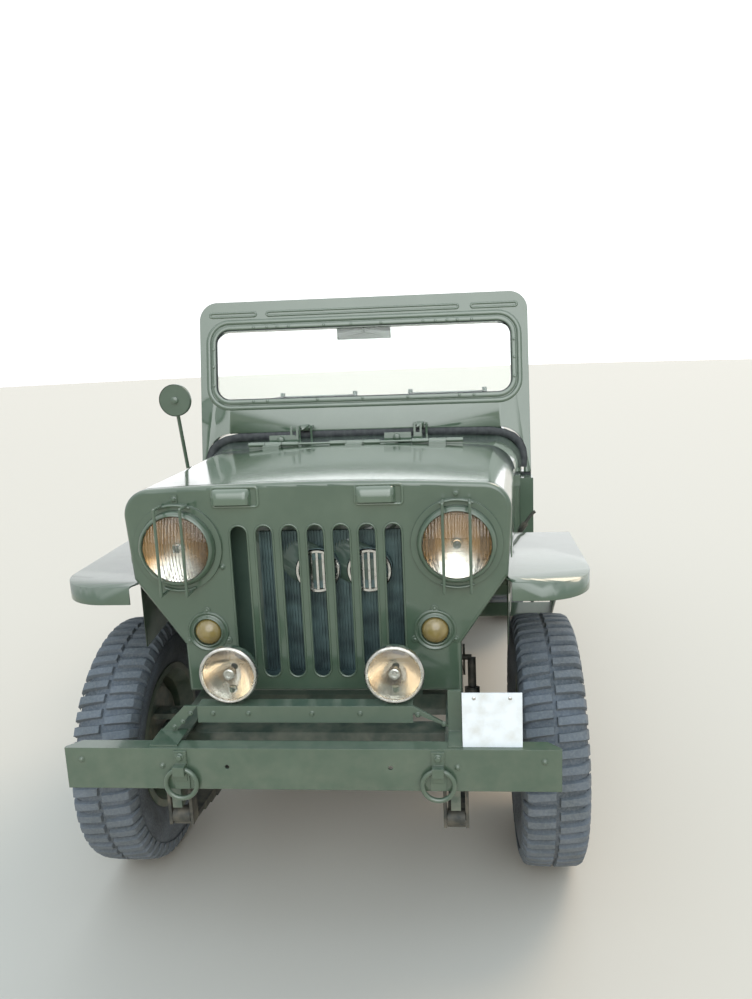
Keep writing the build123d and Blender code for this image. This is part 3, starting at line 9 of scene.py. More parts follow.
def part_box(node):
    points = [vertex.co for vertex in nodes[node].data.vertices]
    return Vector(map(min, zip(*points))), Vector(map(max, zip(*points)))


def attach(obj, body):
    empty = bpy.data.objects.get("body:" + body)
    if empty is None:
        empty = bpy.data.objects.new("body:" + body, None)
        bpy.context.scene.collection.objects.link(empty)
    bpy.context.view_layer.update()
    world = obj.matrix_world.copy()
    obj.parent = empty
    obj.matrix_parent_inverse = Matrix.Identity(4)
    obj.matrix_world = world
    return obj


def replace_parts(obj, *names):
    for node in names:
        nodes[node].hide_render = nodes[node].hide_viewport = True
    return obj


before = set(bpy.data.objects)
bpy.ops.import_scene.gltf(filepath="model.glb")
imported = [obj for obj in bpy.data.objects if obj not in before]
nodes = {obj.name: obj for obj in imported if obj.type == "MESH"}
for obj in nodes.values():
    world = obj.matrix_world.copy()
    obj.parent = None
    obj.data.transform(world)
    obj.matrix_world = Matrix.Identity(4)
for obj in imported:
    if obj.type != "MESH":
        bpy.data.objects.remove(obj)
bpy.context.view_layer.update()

# Camera: some 1.6 metres in front of the bumper at a standing person's eye, turned a
# little to the car's right and down, with the slight roll of a hand-held picture.
EYE = Vector((0.37718, -3.28141, 1.55168))
YAW, PITCH, ROLL = -0.08037, 0.18413, -0.03727
FOCAL_LENGTH, SHIFT_ACROSS, SHIFT_UP = 27.46515, -0.02356, -0.01665
ahead = Vector((sin(YAW) * cos(PITCH), cos(YAW) * cos(PITCH), -sin(PITCH)))
level = Vector((cos(YAW), -sin(YAW), 0))
above = level.cross(ahead)
side = cos(ROLL) * level + sin(ROLL) * above
upward = cos(ROLL) * above - sin(ROLL) * level
lens = bpy.data.cameras.new("camera")
lens.sensor_width = 36
lens.lens = FOCAL_LENGTH
lens.shift_x = SHIFT_ACROSS
lens.shift_y = SHIFT_UP
camera = bpy.data.objects.new("camera", lens)
bpy.context.scene.collection.objects.link(camera)
camera.matrix_world = Matrix.Translation(EYE) @ Matrix((side, upward, -ahead)).transposed().to_4x4()
bpy.context.scene.camera = camera

# Floor, light and pale surroundings: a wide plain floor under a pale sky that glows behind
# and before the car, with a low, soft, distant sun. Paint and glass show the same sky.
bpy.context.scene.view_settings.view_transform = "Standard"


def colour(code):
    """Linear colour of an sRGB code such as 56665A."""
    parts = [int(code[i:i + 2], 16) / 255 for i in (0, 2, 4)]
    return tuple(p / 12.92 if p <= 0.04045 else ((p + 0.055) / 1.055) ** 2.4 for p in parts) + (1.0,)


def add(tree, kind, inputs=None, **settings):
    """One node with its settings, its values and its links."""
    made = tree.nodes.new(kind)
    for name, value in settings.items():
        setattr(made, name, value)
    for name, value in (inputs or {}).items():
        if isinstance(value, bpy.types.NodeSocket):
            tree.links.new(value, made.inputs[name])
        else:
            made.inputs[name].default_value = value
    return made


def ramp(tree, share, stops):
    """Colour ramp over a share, with its stops as place and colour code."""
    made = add(tree, "ShaderNodeValToRGB", {"Fac": share})
    steps = made.color_ramp.elements
    while len(steps) < len(stops):
        steps.new(0.5)
    for step, (place, code) in zip(steps, stops):
        step.position = place
        step.color = colour(code)
    return made.outputs["Color"]


def finish(name):
    """A new material: its tree, its shader and the object's own coordinates."""
    material = bpy.data.materials.new(name)
    material.use_nodes = True
    tree = material.node_tree
    shader = tree.nodes["Principled BSDF"]
    place = add(tree, "ShaderNodeTexCoord").outputs["Object"]
    return material, tree, shader, place


def calc(tree, operation, *values):
    """One sum on sockets or numbers."""
    return add(tree, "ShaderNodeMath", dict(enumerate(values)), operation=operation).outputs[0]


def eased(tree, value, start, stop, low, high):
    """Smooth change from low to high while a value goes from start to stop."""
    span = {"Value": value, "From Min": start, "From Max": stop, "To Min": low, "To Max": high}
    return add(tree, "ShaderNodeMapRange", span, interpolation_type="SMOOTHSTEP").outputs[0]


BEHIND_CAR, BEFORE_CAR = (0.26, 0.94, 0.22), (0.1, -0.88, 0.46)
world = bpy.data.worlds.new("open_sky")
bpy.context.scene.world = world
world.use_nodes = True
sky = world.node_tree
sky.nodes.clear()
way = add(sky, "ShaderNodeTexCoord").outputs["Generated"]
height = add(sky, "ShaderNodeSeparateXYZ", {"Vector": way}).outputs["Z"]
rise = add(sky, "ShaderNodeMapRange", {"Value": height, "From Min": -0.1, "From Max": 0.75}).outputs[0]
pale = ramp(sky, rise, [(0.0, "CFC3B0"), (0.14, "F3EEE6"), (0.5, "DCE8F2"), (1.0, "BBD3EA")])
behind = add(sky, "ShaderNodeVectorMath", {0: way, 1: BEHIND_CAR}, operation="DOT_PRODUCT").outputs["Value"]
before = add(sky, "ShaderNodeVectorMath", {0: way, 1: BEFORE_CAR}, operation="DOT_PRODUCT").outputs["Value"]
high = calc(sky, "ADD", eased(sky, before, 0.78, 0.97, 0.0, 2.9), eased(sky, height, 0.25, 0.9, 0.0, 1.1))
glow = calc(sky, "ADD", eased(sky, behind, 0.45, 1.0, 0.72, 2.3), high)
white = calc(sky, "ADD", high, eased(sky, behind, 0.45, 1.0, 1.0, 1.7))
lit = add(sky, "ShaderNodeBackground", {"Color": pale, "Strength": glow})
shown = add(sky, "ShaderNodeBackground", {"Color": colour("F3F4F5"), "Strength": white})
path = add(sky, "ShaderNodeLightPath").outputs
direct = path["Is Camera Ray"]
for kind in ("Is Glossy Ray", "Is Transmission Ray"):
    direct = calc(sky, "MAXIMUM", direct, path[kind])
seen = add(sky, "ShaderNodeMixShader", {0: direct, 1: lit.outputs[0], 2: shown.outputs[0]})
add(sky, "ShaderNodeOutputWorld", {"Surface": seen.outputs[0]})


def sun(name, where, spread, power, code):
    """Distant lamp of a soft width in degrees, shining from a point towards the car."""
    light = bpy.data.lights.new(name, "SUN")
    light.angle = radians(spread)
    light.energy = power
    light.color = colour(code)[:3]
    made = bpy.data.objects.new(name, light)
    bpy.context.scene.collection.objects.link(made)
    made.rotation_euler = Vector(where).to_track_quat("Z", "Y").to_euler()


sun("low_sun", (2.8, 3.0, 4.6), 24, 1.0, "FFE9CC")

FLOOR_RADIUS = 40
stage = bmesh.new()
bmesh.ops.create_circle(stage, cap_ends=True, segments=64, radius=FLOOR_RADIUS)
floor_mesh = bpy.data.meshes.new("floor")
stage.to_mesh(floor_mesh)
stage.free()
floor = bpy.data.objects.new("floor", floor_mesh)
bpy.context.scene.collection.objects.link(floor)
ground, tree, shader, place = finish("pale_floor")
shader.inputs["Base Color"].default_value = colour("C8BBA9")
shader.inputs["Roughness"].default_value = 0.9
floor.data.materials.append(ground)

# Ladder frame: two folded channel rails with cross members, riveted and welded, sprayed
# in the body's green and long since covered with road dust.
AXLE_STATION = (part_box("tyre_front_left")[0].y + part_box("tyre_front_left")[1].y) / 2


def spot(x, station, z):
    """Point from millimetres: across, back from the front axle, up."""
    return Vector((x / 1000, AXLE_STATION + station / 1000, z / 1000))


def cloud(tree, place, scale, low, high, detail=4.0, distort=0.0):
    """Share from 0 to 1 of a soft random pattern, with a scale in patches a metre."""
    pattern = {"Vector": place, "Scale": scale, "Detail": detail, "Distortion": distort}
    noise = add(tree, "ShaderNodeTexNoise", pattern).outputs["Fac"]
    return add(tree, "ShaderNodeMapRange", {"Value": noise, "From Min": low, "From Max": high}).outputs[0]


def times(tree, first, second):
    """The product of two shares."""
    return calc(tree, "MULTIPLY", first, second)


def over(tree, share, below, cover):
    """Colour with a cover laid over it by a share."""
    mix = add(tree, "ShaderNodeMix", data_type="RGBA")
    for socket, value in ((0, share), (6, below), (7, cover)):
        if isinstance(value, bpy.types.NodeSocket):
            tree.links.new(value, mix.inputs[socket])
        else:
            mix.inputs[socket].default_value = value
    return mix.outputs[2]


def relief(tree, shader, heights, soften=None):
    """Bumps given as share and depth in millimetres, on edges softened by a radius."""
    normal = None
    if soften:
        normal = add(tree, "ShaderNodeBevel", {"Radius": soften / 1000}, samples=4).outputs[0]
    for share, depth in heights:
        inputs = {"Height": share, "Distance": depth / 1000, "Strength": 1.0}
        if normal is not None:
            inputs["Normal"] = normal
        normal = add(tree, "ShaderNodeBump", inputs).outputs[0]
    tree.links.new(normal, shader.inputs["Normal"])


def enamel(name, code, gloss, dust, soften=2.5, brushed=0.12):
    """Brushed and sprayed green enamel with dust on ledges and low down."""
    material, tree, shader, place = finish(name)
    broad = cloud(tree, place, 2.2, 0.3, 0.7)
    darker = tuple(c * 0.80 for c in colour(code)[:3]) + (1.0,)
    base = over(tree, times(tree, broad, 0.35), colour(code), darker)
    patch = cloud(tree, place, 9.0, 0.45, 0.72, 6.0)
    base = over(tree, times(tree, patch, 0.16), base, colour("74806A"))
    normal = add(tree, "ShaderNodeNewGeometry").outputs["Normal"]
    facing = add(tree, "ShaderNodeSeparateXYZ", {"Vector": normal}).outputs["Z"]
    ledge = add(tree, "ShaderNodeMapRange", {"Value": facing, "From Min": 0.35, "From Max": 1.0}).outputs[0]
    height = add(tree, "ShaderNodeSeparateXYZ", {"Vector": place}).outputs["Z"]
    low = add(tree, "ShaderNodeMapRange", {"Value": height, "From Min": 0.75, "From Max": 0.25}).outputs[0]
    lying = calc(tree, "MAXIMUM", times(tree, ledge, 0.6), low)
    film = times(tree, times(tree, lying, cloud(tree, place, 26.0, 0.35, 0.75, 8.0)), dust)
    base = over(tree, film, base, colour("A69C86"))
    tree.links.new(base, shader.inputs["Base Color"])
    rough = add(tree, "ShaderNodeMapRange", {"Value": film, "To Min": gloss, "To Max": 0.75})
    tree.links.new(rough.outputs[0], shader.inputs["Roughness"])
    shader.inputs["Specular IOR Level"].default_value = 0.5
    shader.inputs["Coat Weight"].default_value = 0.7
    shader.inputs["Coat Roughness"].default_value = 0.08
    stroke = add(tree, "ShaderNodeMapping", {"Vector": place, "Scale": (0.12, 1.0, 1.0)}).outputs[0]
    marks, grain = cloud(tree, stroke, 70.0, 0.2, 0.8), cloud(tree, place, 320.0, 0.2, 0.8)
    relief(tree, shader, [(marks, brushed), (grain, 0.05)], soften)
    return material


def coat(material, *names):
    """A finish on CAD nodes whose shape is right."""
    for name in names:
        for slot in nodes[name].material_slots:
            slot.material = material


frame_enamel = enamel("chassis_enamel", "445143", 0.42, 0.75)
coat(frame_enamel, "ladder_frame")

# Leaf springs and dampers: packs of bare spring steel leaves clamped to the axles, with
# tube dampers beside them, all grey with road dirt.
spring_steel, tree, shader, place = finish("dusty_spring_steel")
grime = cloud(tree, place, 30.0, 0.3, 0.7, 8.0)
tree.links.new(over(tree, grime, colour("2C302E"), colour("6E6759")), shader.inputs["Base Color"])
shader.inputs["Metallic"].default_value = 0.35
shader.inputs["Roughness"].default_value = 0.6
relief(tree, shader, [(grime, 0.4)], 1.5)
coat(spring_steel, "springs_and_dampers")

# Beam axles, steering knuckles and tie rod: cast and forged iron brushed with the same
# green enamel, matt with dust.
axle_enamel = enamel("axle_enamel", "3F4C42", 0.5, 0.9)
coat(axle_enamel, "front_axle", "rear_axle", "knuckle_left", "knuckle_right", "tie_rod")

# Tyres: 16 inch bias-ply casings with staggered bar lugs out to the shoulders, black
# rubber gone grey with dust, worn paler on the lug tops.
TYRE_RADIUS, LUG_WIDTH, LUGS = 0.362, 0.023, 54
# half of the casing's section, as across and radius, from the bead to the middle
CASING = [(-0.061, 0.2035), (-0.066, 0.226), (-0.080, 0.248), (-0.0885, 0.278), (-0.088, 0.300),
          (-0.083, 0.322), (-0.074, 0.340), (-0.060, 0.348), (-0.030, 0.351), (0.0, 0.352)]
CASING += [(-x, r) for x, r in reversed(CASING[:-1])]


SHARP_EDGE = 38


def piece(name, bm, body, material, angle=SHARP_EDGE):
    """Finished mesh with its faces outwards, riding on a body."""
    bmesh.ops.remove_doubles(bm, verts=bm.verts, dist=1e-6)
    bmesh.ops.recalc_face_normals(bm, faces=bm.faces)
    mesh = bpy.data.meshes.new(name)
    bm.to_mesh(mesh)
    bm.free()
    mesh.shade_smooth()
    mesh.set_sharp_from_angle(angle=radians(angle))
    mesh.materials.append(material)
    made = bpy.data.objects.new(name, mesh)
    bpy.context.scene.collection.objects.link(made)
    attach(made, body)
    return made


def redrawn(name, node, change, body, material):
    """A merged copy of a CAD node with some of its points moved, in the node's place."""
    bm = bmesh.new()
    bm.from_mesh(nodes[node].data)
    for vertex in bm.verts:
        change(vertex.co)
    made = piece(name, bm, body, material)
    weigh = made.modifiers.new("weigh", "WEIGHTED_NORMAL")
    weigh.keep_sharp = True
    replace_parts(made, node)
    return made


def spun(bm, profile, centre, axis, sides=64, closed=True):
    """Surface of a profile of (along, radius) turned about an axis."""
    axis = Vector(axis).normalized()
    across = axis.orthogonal().normalized()
    other = axis.cross(across)
    rings = []
    for along, radius in profile:
        if radius < 1e-6:
            rings.append([bm.verts.new(centre + axis * along)])
            continue
        turns = (2 * pi * i / sides for i in range(sides))
        rings.append([bm.verts.new(centre + axis * along + radius * (cos(a) * across + sin(a) * other))
                      for a in turns])
    pairs = list(zip(rings, rings[1:])) + ([(rings[-1], rings[0])] if closed else [])
    for near, far in pairs:
        for i in range(sides):
            j = (i + 1) % sides
            if len(near) == 1 and len(far) == 1:
                continue
            if len(near) == 1:
                bm.faces.new((near[0], far[i], far[j]))
            elif len(far) == 1:
                bm.faces.new((near[i], far[0], near[j]))
            else:
                bm.faces.new((near[i], far[i], far[j], near[j]))
    return bm


def repeat_tree(name):
    """Geometry tree: a source object's mesh set on every point of a layout, aimed by it."""
    tree = bpy.data.node_groups.new(name, "GeometryNodeTree")
    face = tree.interface
    face.new_socket("Layout", in_out="INPUT", socket_type="NodeSocketGeometry")
    face.new_socket("Source", in_out="INPUT", socket_type="NodeSocketObject")
    face.new_socket("Finish", in_out="INPUT", socket_type="NodeSocketMaterial")
    face.new_socket("Size", in_out="INPUT", socket_type="NodeSocketFloat")
    face.new_socket("Result", in_out="OUTPUT", socket_type="NodeSocketGeometry")
    given = tree.nodes.new("NodeGroupInput").outputs
    shape = add(tree, "GeometryNodeObjectInfo", {"Object": given["Source"]})
    points = add(tree, "GeometryNodeMeshToPoints", {"Mesh": given["Layout"]})
    aim = add(tree, "GeometryNodeInputNamedAttribute", {"Name": "aim"}, data_type="FLOAT_VECTOR").outputs[0]
    lift = add(tree, "GeometryNodeInputNamedAttribute", {"Name": "lift"}, data_type="FLOAT_VECTOR").outputs[0]
    turn = add(tree, "FunctionNodeAxesToRotation", {"Primary Axis": aim, "Secondary Axis": lift},
               primary_axis="Z", secondary_axis="X")
    grown = add(tree, "ShaderNodeCombineXYZ", dict.fromkeys("XYZ", given["Size"]))
    set_out = {"Points": points.outputs[0], "Instance": shape.outputs["Geometry"],
               "Rotation": turn.outputs[0], "Scale": grown.outputs[0]}
    copies = add(tree, "GeometryNodeInstanceOnPoints", set_out)
    real = add(tree, "GeometryNodeRealizeInstances", {"Geometry": copies.outputs[0]})
    painted = add(tree, "GeometryNodeSetMaterial", {"Geometry": real.outputs[0], "Material": given["Finish"]})
    out = tree.nodes.new("NodeGroupOutput")
    tree.links.new(painted.outputs[0], out.inputs[0])
    return tree


repeats = repeat_tree("repeat_on_points")


def repeated(name, source, places, material, size=1.0, body="car"):
    """A small mesh on each place of (point, aim, lift), its Z along aim and X along lift."""
    shape = bpy.data.meshes.new(name + "_one")
    bmesh.ops.recalc_face_normals(source, faces=source.faces)
    source.to_mesh(shape)
    source.free()
    holder = bpy.data.objects.new(name + "_one", shape)
    bpy.context.scene.collection.objects.link(holder)
    layout = bpy.data.meshes.new(name)
    layout.from_pydata([tuple(p[0]) for p in places], [], [])
    for key, column in (("aim", 1), ("lift", 2)):
        attribute = layout.attributes.new(key, "FLOAT_VECTOR", "POINT")
        attribute.data.foreach_set("vector", [v for p in places for v in p[column]])
    made = bpy.data.objects.new(name, layout)
    bpy.context.scene.collection.objects.link(made)
    change = made.modifiers.new("repeat", "NODES")
    change.node_group = repeats
    for item in repeats.interface.items_tree:
        if item.in_out == "INPUT" and item.name in ("Source", "Finish", "Size"):
            change[item.identifier] = {"Source": holder, "Finish": material, "Size": size}[item.name]
    bpy.context.view_layer.update()
    shot = made.evaluated_get(bpy.context.evaluated_depsgraph_get())
    mesh = bpy.data.meshes.new_from_object(shot)
    made.modifiers.clear()
    made.data = mesh
    bpy.data.meshes.remove(layout)
    bpy.data.objects.remove(holder)
    if not mesh.materials:
        mesh.materials.append(material)
    mesh.shade_smooth()
    mesh.set_sharp_from_angle(angle=radians(SHARP_EDGE))
    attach(made, body)
    return made


def rubber(name, code):
    """Old tyre rubber, dusty in patches and worn in fine spots."""
    material, tree, shader, place = finish(name)
    dust = cloud(tree, place, 14.0, 0.35, 0.68, 8.0)
    fine = cloud(tree, place, 160.0, 0.4, 0.7, 3.0)
    base = over(tree, times(tree, dust, 0.55), colour(code), colour("6F747A"))
    base = over(tree, times(tree, fine, 0.3), base, colour("8A8A86"))
    tree.links.new(base, shader.inputs["Base Color"])
    shader.inputs["Roughness"].default_value = 0.82
    relief(tree, shader, [(cloud(tree, place, 55.0, 0.2, 0.8, 6.0), 0.7), (fine, 0.25)], 2.0)
    return material


tyre_rubber = rubber("dusty_tyre_rubber", "4A4E50")
lug_rubber = rubber("worn_lug_rubber", "5C6061")


def lug():
    """One bar lug from near the middle round the shoulder; X across, Y round, Z out."""
    bm = bmesh.new()
    outer = [(0.006, 0.0), (0.034, -0.0005), (0.066, -0.003), (0.078, -0.008), (0.087, -0.026),
             (0.0885, -0.040)]
    inner = [(0.0885, -0.046), (0.080, -0.030), (0.066, -0.016), (0.004, -0.012)]
    for sign in (-1, 1):
        ring = []
        for i, (x, z) in enumerate(outer + inner):
            half = LUG_WIDTH / 2 * (0.86 if i < len(outer) else 1.1) * (1.0 if x < 0.06 else 1.12)
            ring.append(bm.verts.new((x, sign * half + 0.010 * (x / 0.09), z)))
        bm.faces.new(ring)
    bm.faces.ensure_lookup_table()
    first, second = [f.verts[:] for f in bm.faces]
    for i in range(len(first)):
        j = (i + 1) % len(first)
        bm.faces.new((first[i], first[j], second[j], second[i]))
    return bm


CORNERS = ("front_left", "front_right", "rear_left", "rear_right")
leftward = Vector((1, 0, 0))


def hub_centre(corner):
    """Middle of a tyre."""
    low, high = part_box("tyre_" + corner)
    return (low + high) / 2


for corner in CORNERS:
    centre, wheel = hub_centre(corner), "road_wheel_" + corner
    bm = spun(bmesh.new(), CASING, centre, leftward, 128)
    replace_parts(piece("casing_" + corner, bm, wheel, tyre_rubber), "tyre_" + corner)
    places = []
    for side, phase in ((1, 0.0), (-1, 0.5)):
        for i in range(LUGS):
            turn = 2 * pi * (i + phase) / LUGS
            away = Vector((0, cos(turn), sin(turn)))
            places.append((centre + away * TYRE_RADIUS, away, leftward * side))
    repeated("tread_" + corner, lug(), places, lug_rubber, body=wheel)

# Wheels: pressed steel discs in welded rims, brushed green over older coats. Each is held
# by five plated nuts on a circle round its hub cap.
wheel_enamel = enamel("wheel_enamel", "455542", 0.32, 0.45)
coat(wheel_enamel, *["wheel_" + corner for corner in CORNERS])
NUT_FACE, NUT_CIRCLE, NUTS = 0.659, 0.06985, 5
bright, tree, shader, place = finish("dull_chrome")
age = cloud(tree, place, 60.0, 0.45, 0.75, 8.0)
worn = over(tree, times(tree, age, 0.5), colour("C9C9C4"), colour("77705F"))
tree.links.new(worn, shader.inputs["Base Color"])
shader.inputs["Metallic"].default_value = 1.0
rough = add(tree, "ShaderNodeMapRange", {"Value": age, "To Min": 0.14, "To Max": 0.5}).outputs[0]
tree.links.new(rough, shader.inputs["Roughness"])


def hexagon_bolt():
    """Six-sided head with its washer, one unit across the washer."""
    foot, up = Vector((0, 0, 0)), (0, 0, 1)
    bm = bmesh.new()
    spun(bm, [(0, 0.5), (0.07, 0.5), (0.09, 0.47), (0.09, 0.0)], foot, up, 20, closed=False)
    spun(bm, [(0.08, 0.36), (0.34, 0.36), (0.40, 0.30), (0.40, 0.0)], foot, up, 6, closed=False)
    return bm


for corner in CORNERS:
    hub = hub_centre(corner)
    side = 1 if hub.x > 0 else -1
    hub.x = side * NUT_FACE
    turns = [radians(90 + 360 * i / NUTS) for i in range(NUTS)]
    spread = [Vector((0, cos(turn), sin(turn))) for turn in turns]
    places = [(hub + away * NUT_CIRCLE, leftward * side, away) for away in spread]
    repeated("wheel_nuts_" + corner, hexagon_bolt(), places, bright, 0.034,
             "road_wheel_" + corner)

# Engine, transmission and exhaust: the engine is one plain block of cast iron like the
# gear cases behind it, and the pipe under the floor is steel browned by heat.
cast_iron, tree, shader, place = finish("cast_iron")
grime = cloud(tree, place, 22.0, 0.3, 0.7, 8.0)
tree.links.new(over(tree, grime, colour("34393A"), colour("5D5A50")), shader.inputs["Base Color"])
shader.inputs["Metallic"].default_value = 0.5
shader.inputs["Roughness"].default_value = 0.62
relief(tree, shader, [(cloud(tree, place, 300.0, 0.3, 0.7), 0.25)], 2.5)
coat(cast_iron, "engine", "driveline")
pipe_steel, tree, shader, place = finish("heat_browned_steel")
rust = cloud(tree, place, 35.0, 0.35, 0.65, 8.0)
tree.links.new(over(tree, rust, colour("5B5148"), colour("7A4E33")), shader.inputs["Base Color"])
shader.inputs["Metallic"].default_value = 0.5
shader.inputs["Roughness"].default_value = 0.65
relief(tree, shader, [(rust, 0.3)], 2.0)
coat(pipe_steel, "exhaust")

# Radiator: black tube and fin core in a green shroud behind the grille, with two round
# horns on it, each with a bright rim and plain upright bars.
tank_enamel = enamel("shroud_enamel", "46574A", 0.4, 0.2)
SHROUD_FACE, HORN_FOOT = -201, 0.92


def place_horn(point):
    """Both horns stand a little to the car's left of the middle and lower."""
    if point.y < spot(0, SHROUD_FACE, 0).y and point.z > HORN_FOOT:
        point.x += 0.070 if point.x > 0 else 0.060
        point.z -= 0.025


redrawn("radiator_shroud", "radiator", place_horn, "car", tank_enamel)
core_black, tree, shader, place = finish("radiator_core_black")
tree.links.new(over(tree, cloud(tree, place, 18.0, 0.35, 0.7, 6.0), colour("435250"), colour("657A77")),
               shader.inputs["Base Color"])
shader.inputs["Metallic"].default_value = 0.4
shader.inputs["Roughness"].default_value = 0.5


def block(bm, low, high):
    """Box between two corners."""
    made = bmesh.ops.create_cube(bm, size=1.0)
    size = [h - l for l, h in zip(low, high)]
    middle = [(h + l) / 2 for l, h in zip(low, high)]
    grow = Matrix.Translation(middle) @ Matrix.Diagonal((*size, 1))
    bmesh.ops.transform(bm, matrix=grow, verts=made["verts"])
    return bm


CORE_LEFT, CORE_RIGHT, CORE_LOW, CORE_HIGH, CORE_FACE = -166, 236, 664, 1062, -204
fin = block(bmesh.new(), (-0.0009, -0.009, 0), (0.0009, 0.003, (CORE_HIGH - CORE_LOW) / 1000))
upright = Vector((0, 0, 1))
places = [(spot(x, CORE_FACE, CORE_LOW), upright, leftward) for x in range(CORE_LEFT + 6, CORE_RIGHT - 4, 8)]
repeated("radiator_fins", fin, places, core_black)
bm = bmesh.new()
block(bm, spot(CORE_LEFT, CORE_FACE - 3, CORE_LOW), spot(CORE_RIGHT, CORE_FACE + 3, CORE_HIGH))
block(bm, spot(CORE_LEFT - 12, CORE_FACE - 8, CORE_LOW - 14), spot(CORE_RIGHT + 12, CORE_FACE + 3, CORE_LOW))
piece("radiator_core", bm, "car", core_black)
HORNS, HORN_STATION, HORN_Z = (-4, 134), -238, 960
BAR_PITCH, BAR_HALF, BAR_REACH = 0.016, 0.003, 0.050
back = Vector((0, 1, 0))
bm, bells = bmesh.new(), bmesh.new()
for x in HORNS:
    hub = spot(x, HORN_STATION, HORN_Z)
    spun(bm, [(0, 0.048), (0, 0.059), (-0.004, 0.060), (-0.008, 0.057), (-0.008, 0.051), (-0.004, 0.048)],
         hub, back, 48)
    spun(bells, [(0.004, 0.0), (0.003, 0.030), (-0.001, 0.048), (0.002, 0.0605), (0.030, 0.0605),
                 (0.030, 0.0)], hub, back, 48, closed=False)
    for i in range(-2, 3):
        middle = i * BAR_PITCH
        tall = sqrt(BAR_REACH ** 2 - middle ** 2)
        low = Vector((middle - BAR_HALF, -0.007, -tall))
        high = Vector((middle + BAR_HALF, -0.002, tall))
        block(bm, hub + low, hub + high)
piece("horn_faces", bm, "car", bright)
piece("horn_bells", bells, "car", core_black)

# Grille panel: one pressing with seven slots whose edges are rolled forward, a rounded
# rim, and a raised ring round each headlamp. It carries the lamps and two cooling scoops.
body_enamel = enamel("green_enamel", "4B5B48", 0.18, 0.2)
coat(body_enamel, "grille")


def stadium(half_width, low, high, steps=10):
    """Closed outline with round ends, in across and up."""
    points = [(half_width * cos(pi * i / steps), high - half_width + half_width * sin(pi * i / steps))
              for i in range(steps + 1)]
    points += [(-half_width * cos(pi * i / steps), low + half_width - half_width * sin(pi * i / steps))
               for i in range(steps + 1)]
    return points


def rounded(half_width, half_height, corner, steps=8):
    """Closed outline of a rectangle with round corners, about its middle."""
    points = []
    for quarter, (sx, sz) in enumerate(((1, 1), (-1, 1), (-1, -1), (1, -1))):
        for i in range(steps + 1):
            a = (quarter + i / steps) * pi / 2
            across = sx * (half_width - corner) + corner * cos(a)
            points.append((across, sz * (half_height - corner) + corner * sin(a)))
    return points


def sweep(bm, outline, section, place, closed=True):
    """A section of (outward, forward) carried round an outline; place turns (across, up,
    forward) into a point."""
    count = len(outline)
    rings = []
    for i in range(count):
        before = Vector(outline[i - 1] if closed or i else outline[0])
        after = Vector(outline[(i + 1) % count] if closed or i < count - 1 else outline[-1])
        along = (after - before).normalized()
        away = Vector((along.y, -along.x))
        x, y = outline[i]
        rings.append([bm.verts.new(place(x + away.x * out, y + away.y * out, forward))
                      for out, forward in section])
    loops = list(zip(rings, rings[1:])) + ([(rings[-1], rings[0])] if closed else [])
    for near, far in loops:
        for k in range(len(section)):
            m = (k + 1) % len(section)
            bm.faces.new((near[k], far[k], far[m], near[m]))
    if not closed:
        bm.faces.new(rings[0])
        bm.faces.new(rings[-1])
    return bm


GRILLE_FACE = -270
SLOTS, SLOT_PITCH, SLOT_HALF, SLOT_LOW, SLOT_HIGH = 7, 67.65, 25.5, 672, 1096
front = Vector((0, -1, 0))


def on_grille(x, z, forward):
    """Point on the grille panel or a little before it, in millimetres."""
    return spot(x, GRILLE_FACE - forward, z)


bm = bmesh.new()
bead = [(4.5, -1), (4.5, 0.4), (3.0, 2.6), (0.6, 3.0), (-1.2, 1.6), (-1.2, -4)]
for i in range(SLOTS):
    middle = (i - (SLOTS - 1) / 2) * SLOT_PITCH
    outline = [(x + middle, z) for x, z in stadium(SLOT_HALF, SLOT_LOW, SLOT_HIGH)]
    sweep(bm, outline[::-1], bead, on_grille)
piece("slot_edges", bm, "car", body_enamel, angle=60)

# Cooling scoops: two small hooded pressings on the top of the grille panel, each in a
# raised ring that reaches a little past it on the car's left.
SCOOPS, SCOOP_Z, SCOOP_HALF, SCOOP_FLAT = (-214, 161), 1170, 52, 38
bm = bmesh.new()
for middle in SCOOPS:
    outline = [(x + middle + 9, z + SCOOP_Z) for x, z in rounded(62, 27, 10)]
    sweep(bm, outline, [(2, -1), (2, 2.5), (0, 4), (-3, 4), (-5, 2.5), (-5, -1)], on_grille)
    rows = []
    # how far each row of the hood stands forward, and its height
    for forward, high in ((0, 1193), (8, 1192), (15, 1187), (19, 1177), (20.5, 1164), (19.5, 1152),
                          (2, 1150)):
        row = []
        for k in range(17):
            x = SCOOP_HALF * (k / 8 - 1)
            end = max(0.0, (abs(x) - SCOOP_FLAT) / (SCOOP_HALF - SCOOP_FLAT))
            ease = sqrt(max(0.0, 1 - end ** 2))
            row.append(bm.verts.new(on_grille(middle + x, high - (1 - ease) * 4, forward * ease)))
        rows.append(row)
    for near, far in zip(rows, rows[1:]):
        for k in range(16):
            bm.faces.new((near[k], near[k + 1], far[k + 1], far[k]))
# painted highlight: the scoops carry the grille's green enamel drawn lighter, as sky light on their up-facing
# tops would show it
scoop_enamel_painted_lighter = enamel("glossy_scoop_enamel_painted_lighter", "556551", 0.08, 0.05, brushed=0.03)
scoop_enamel_painted_lighter.node_tree.nodes["Principled BSDF"].inputs["Coat Weight"].default_value = 1.0
piece("scoops", bm, "car", scoop_enamel_painted_lighter, angle=60)

# Headlamps: a green rim in a pressed ring holds a fluted glass over a silvered dish with
# its bulb, seven inches across as such lamps are.
HEAD_X, HEAD_Z = 366, 1038


def arch_profile(rise, radius, thick, steps=10):
    """Half section of a domed glass, as (along, radius), its outside then its inside."""
    ball = (radius ** 2 + rise ** 2) / (2 * rise)
    top = atan2(radius, ball - rise)
    turns = [top * i / steps for i in range(steps + 1)]
    outside = [(rise - ball * (1 - cos(turn)), ball * sin(turn)) for turn in turns]
    inside = [(along - thick, r) for along, r in reversed(outside)]
    return outside + inside


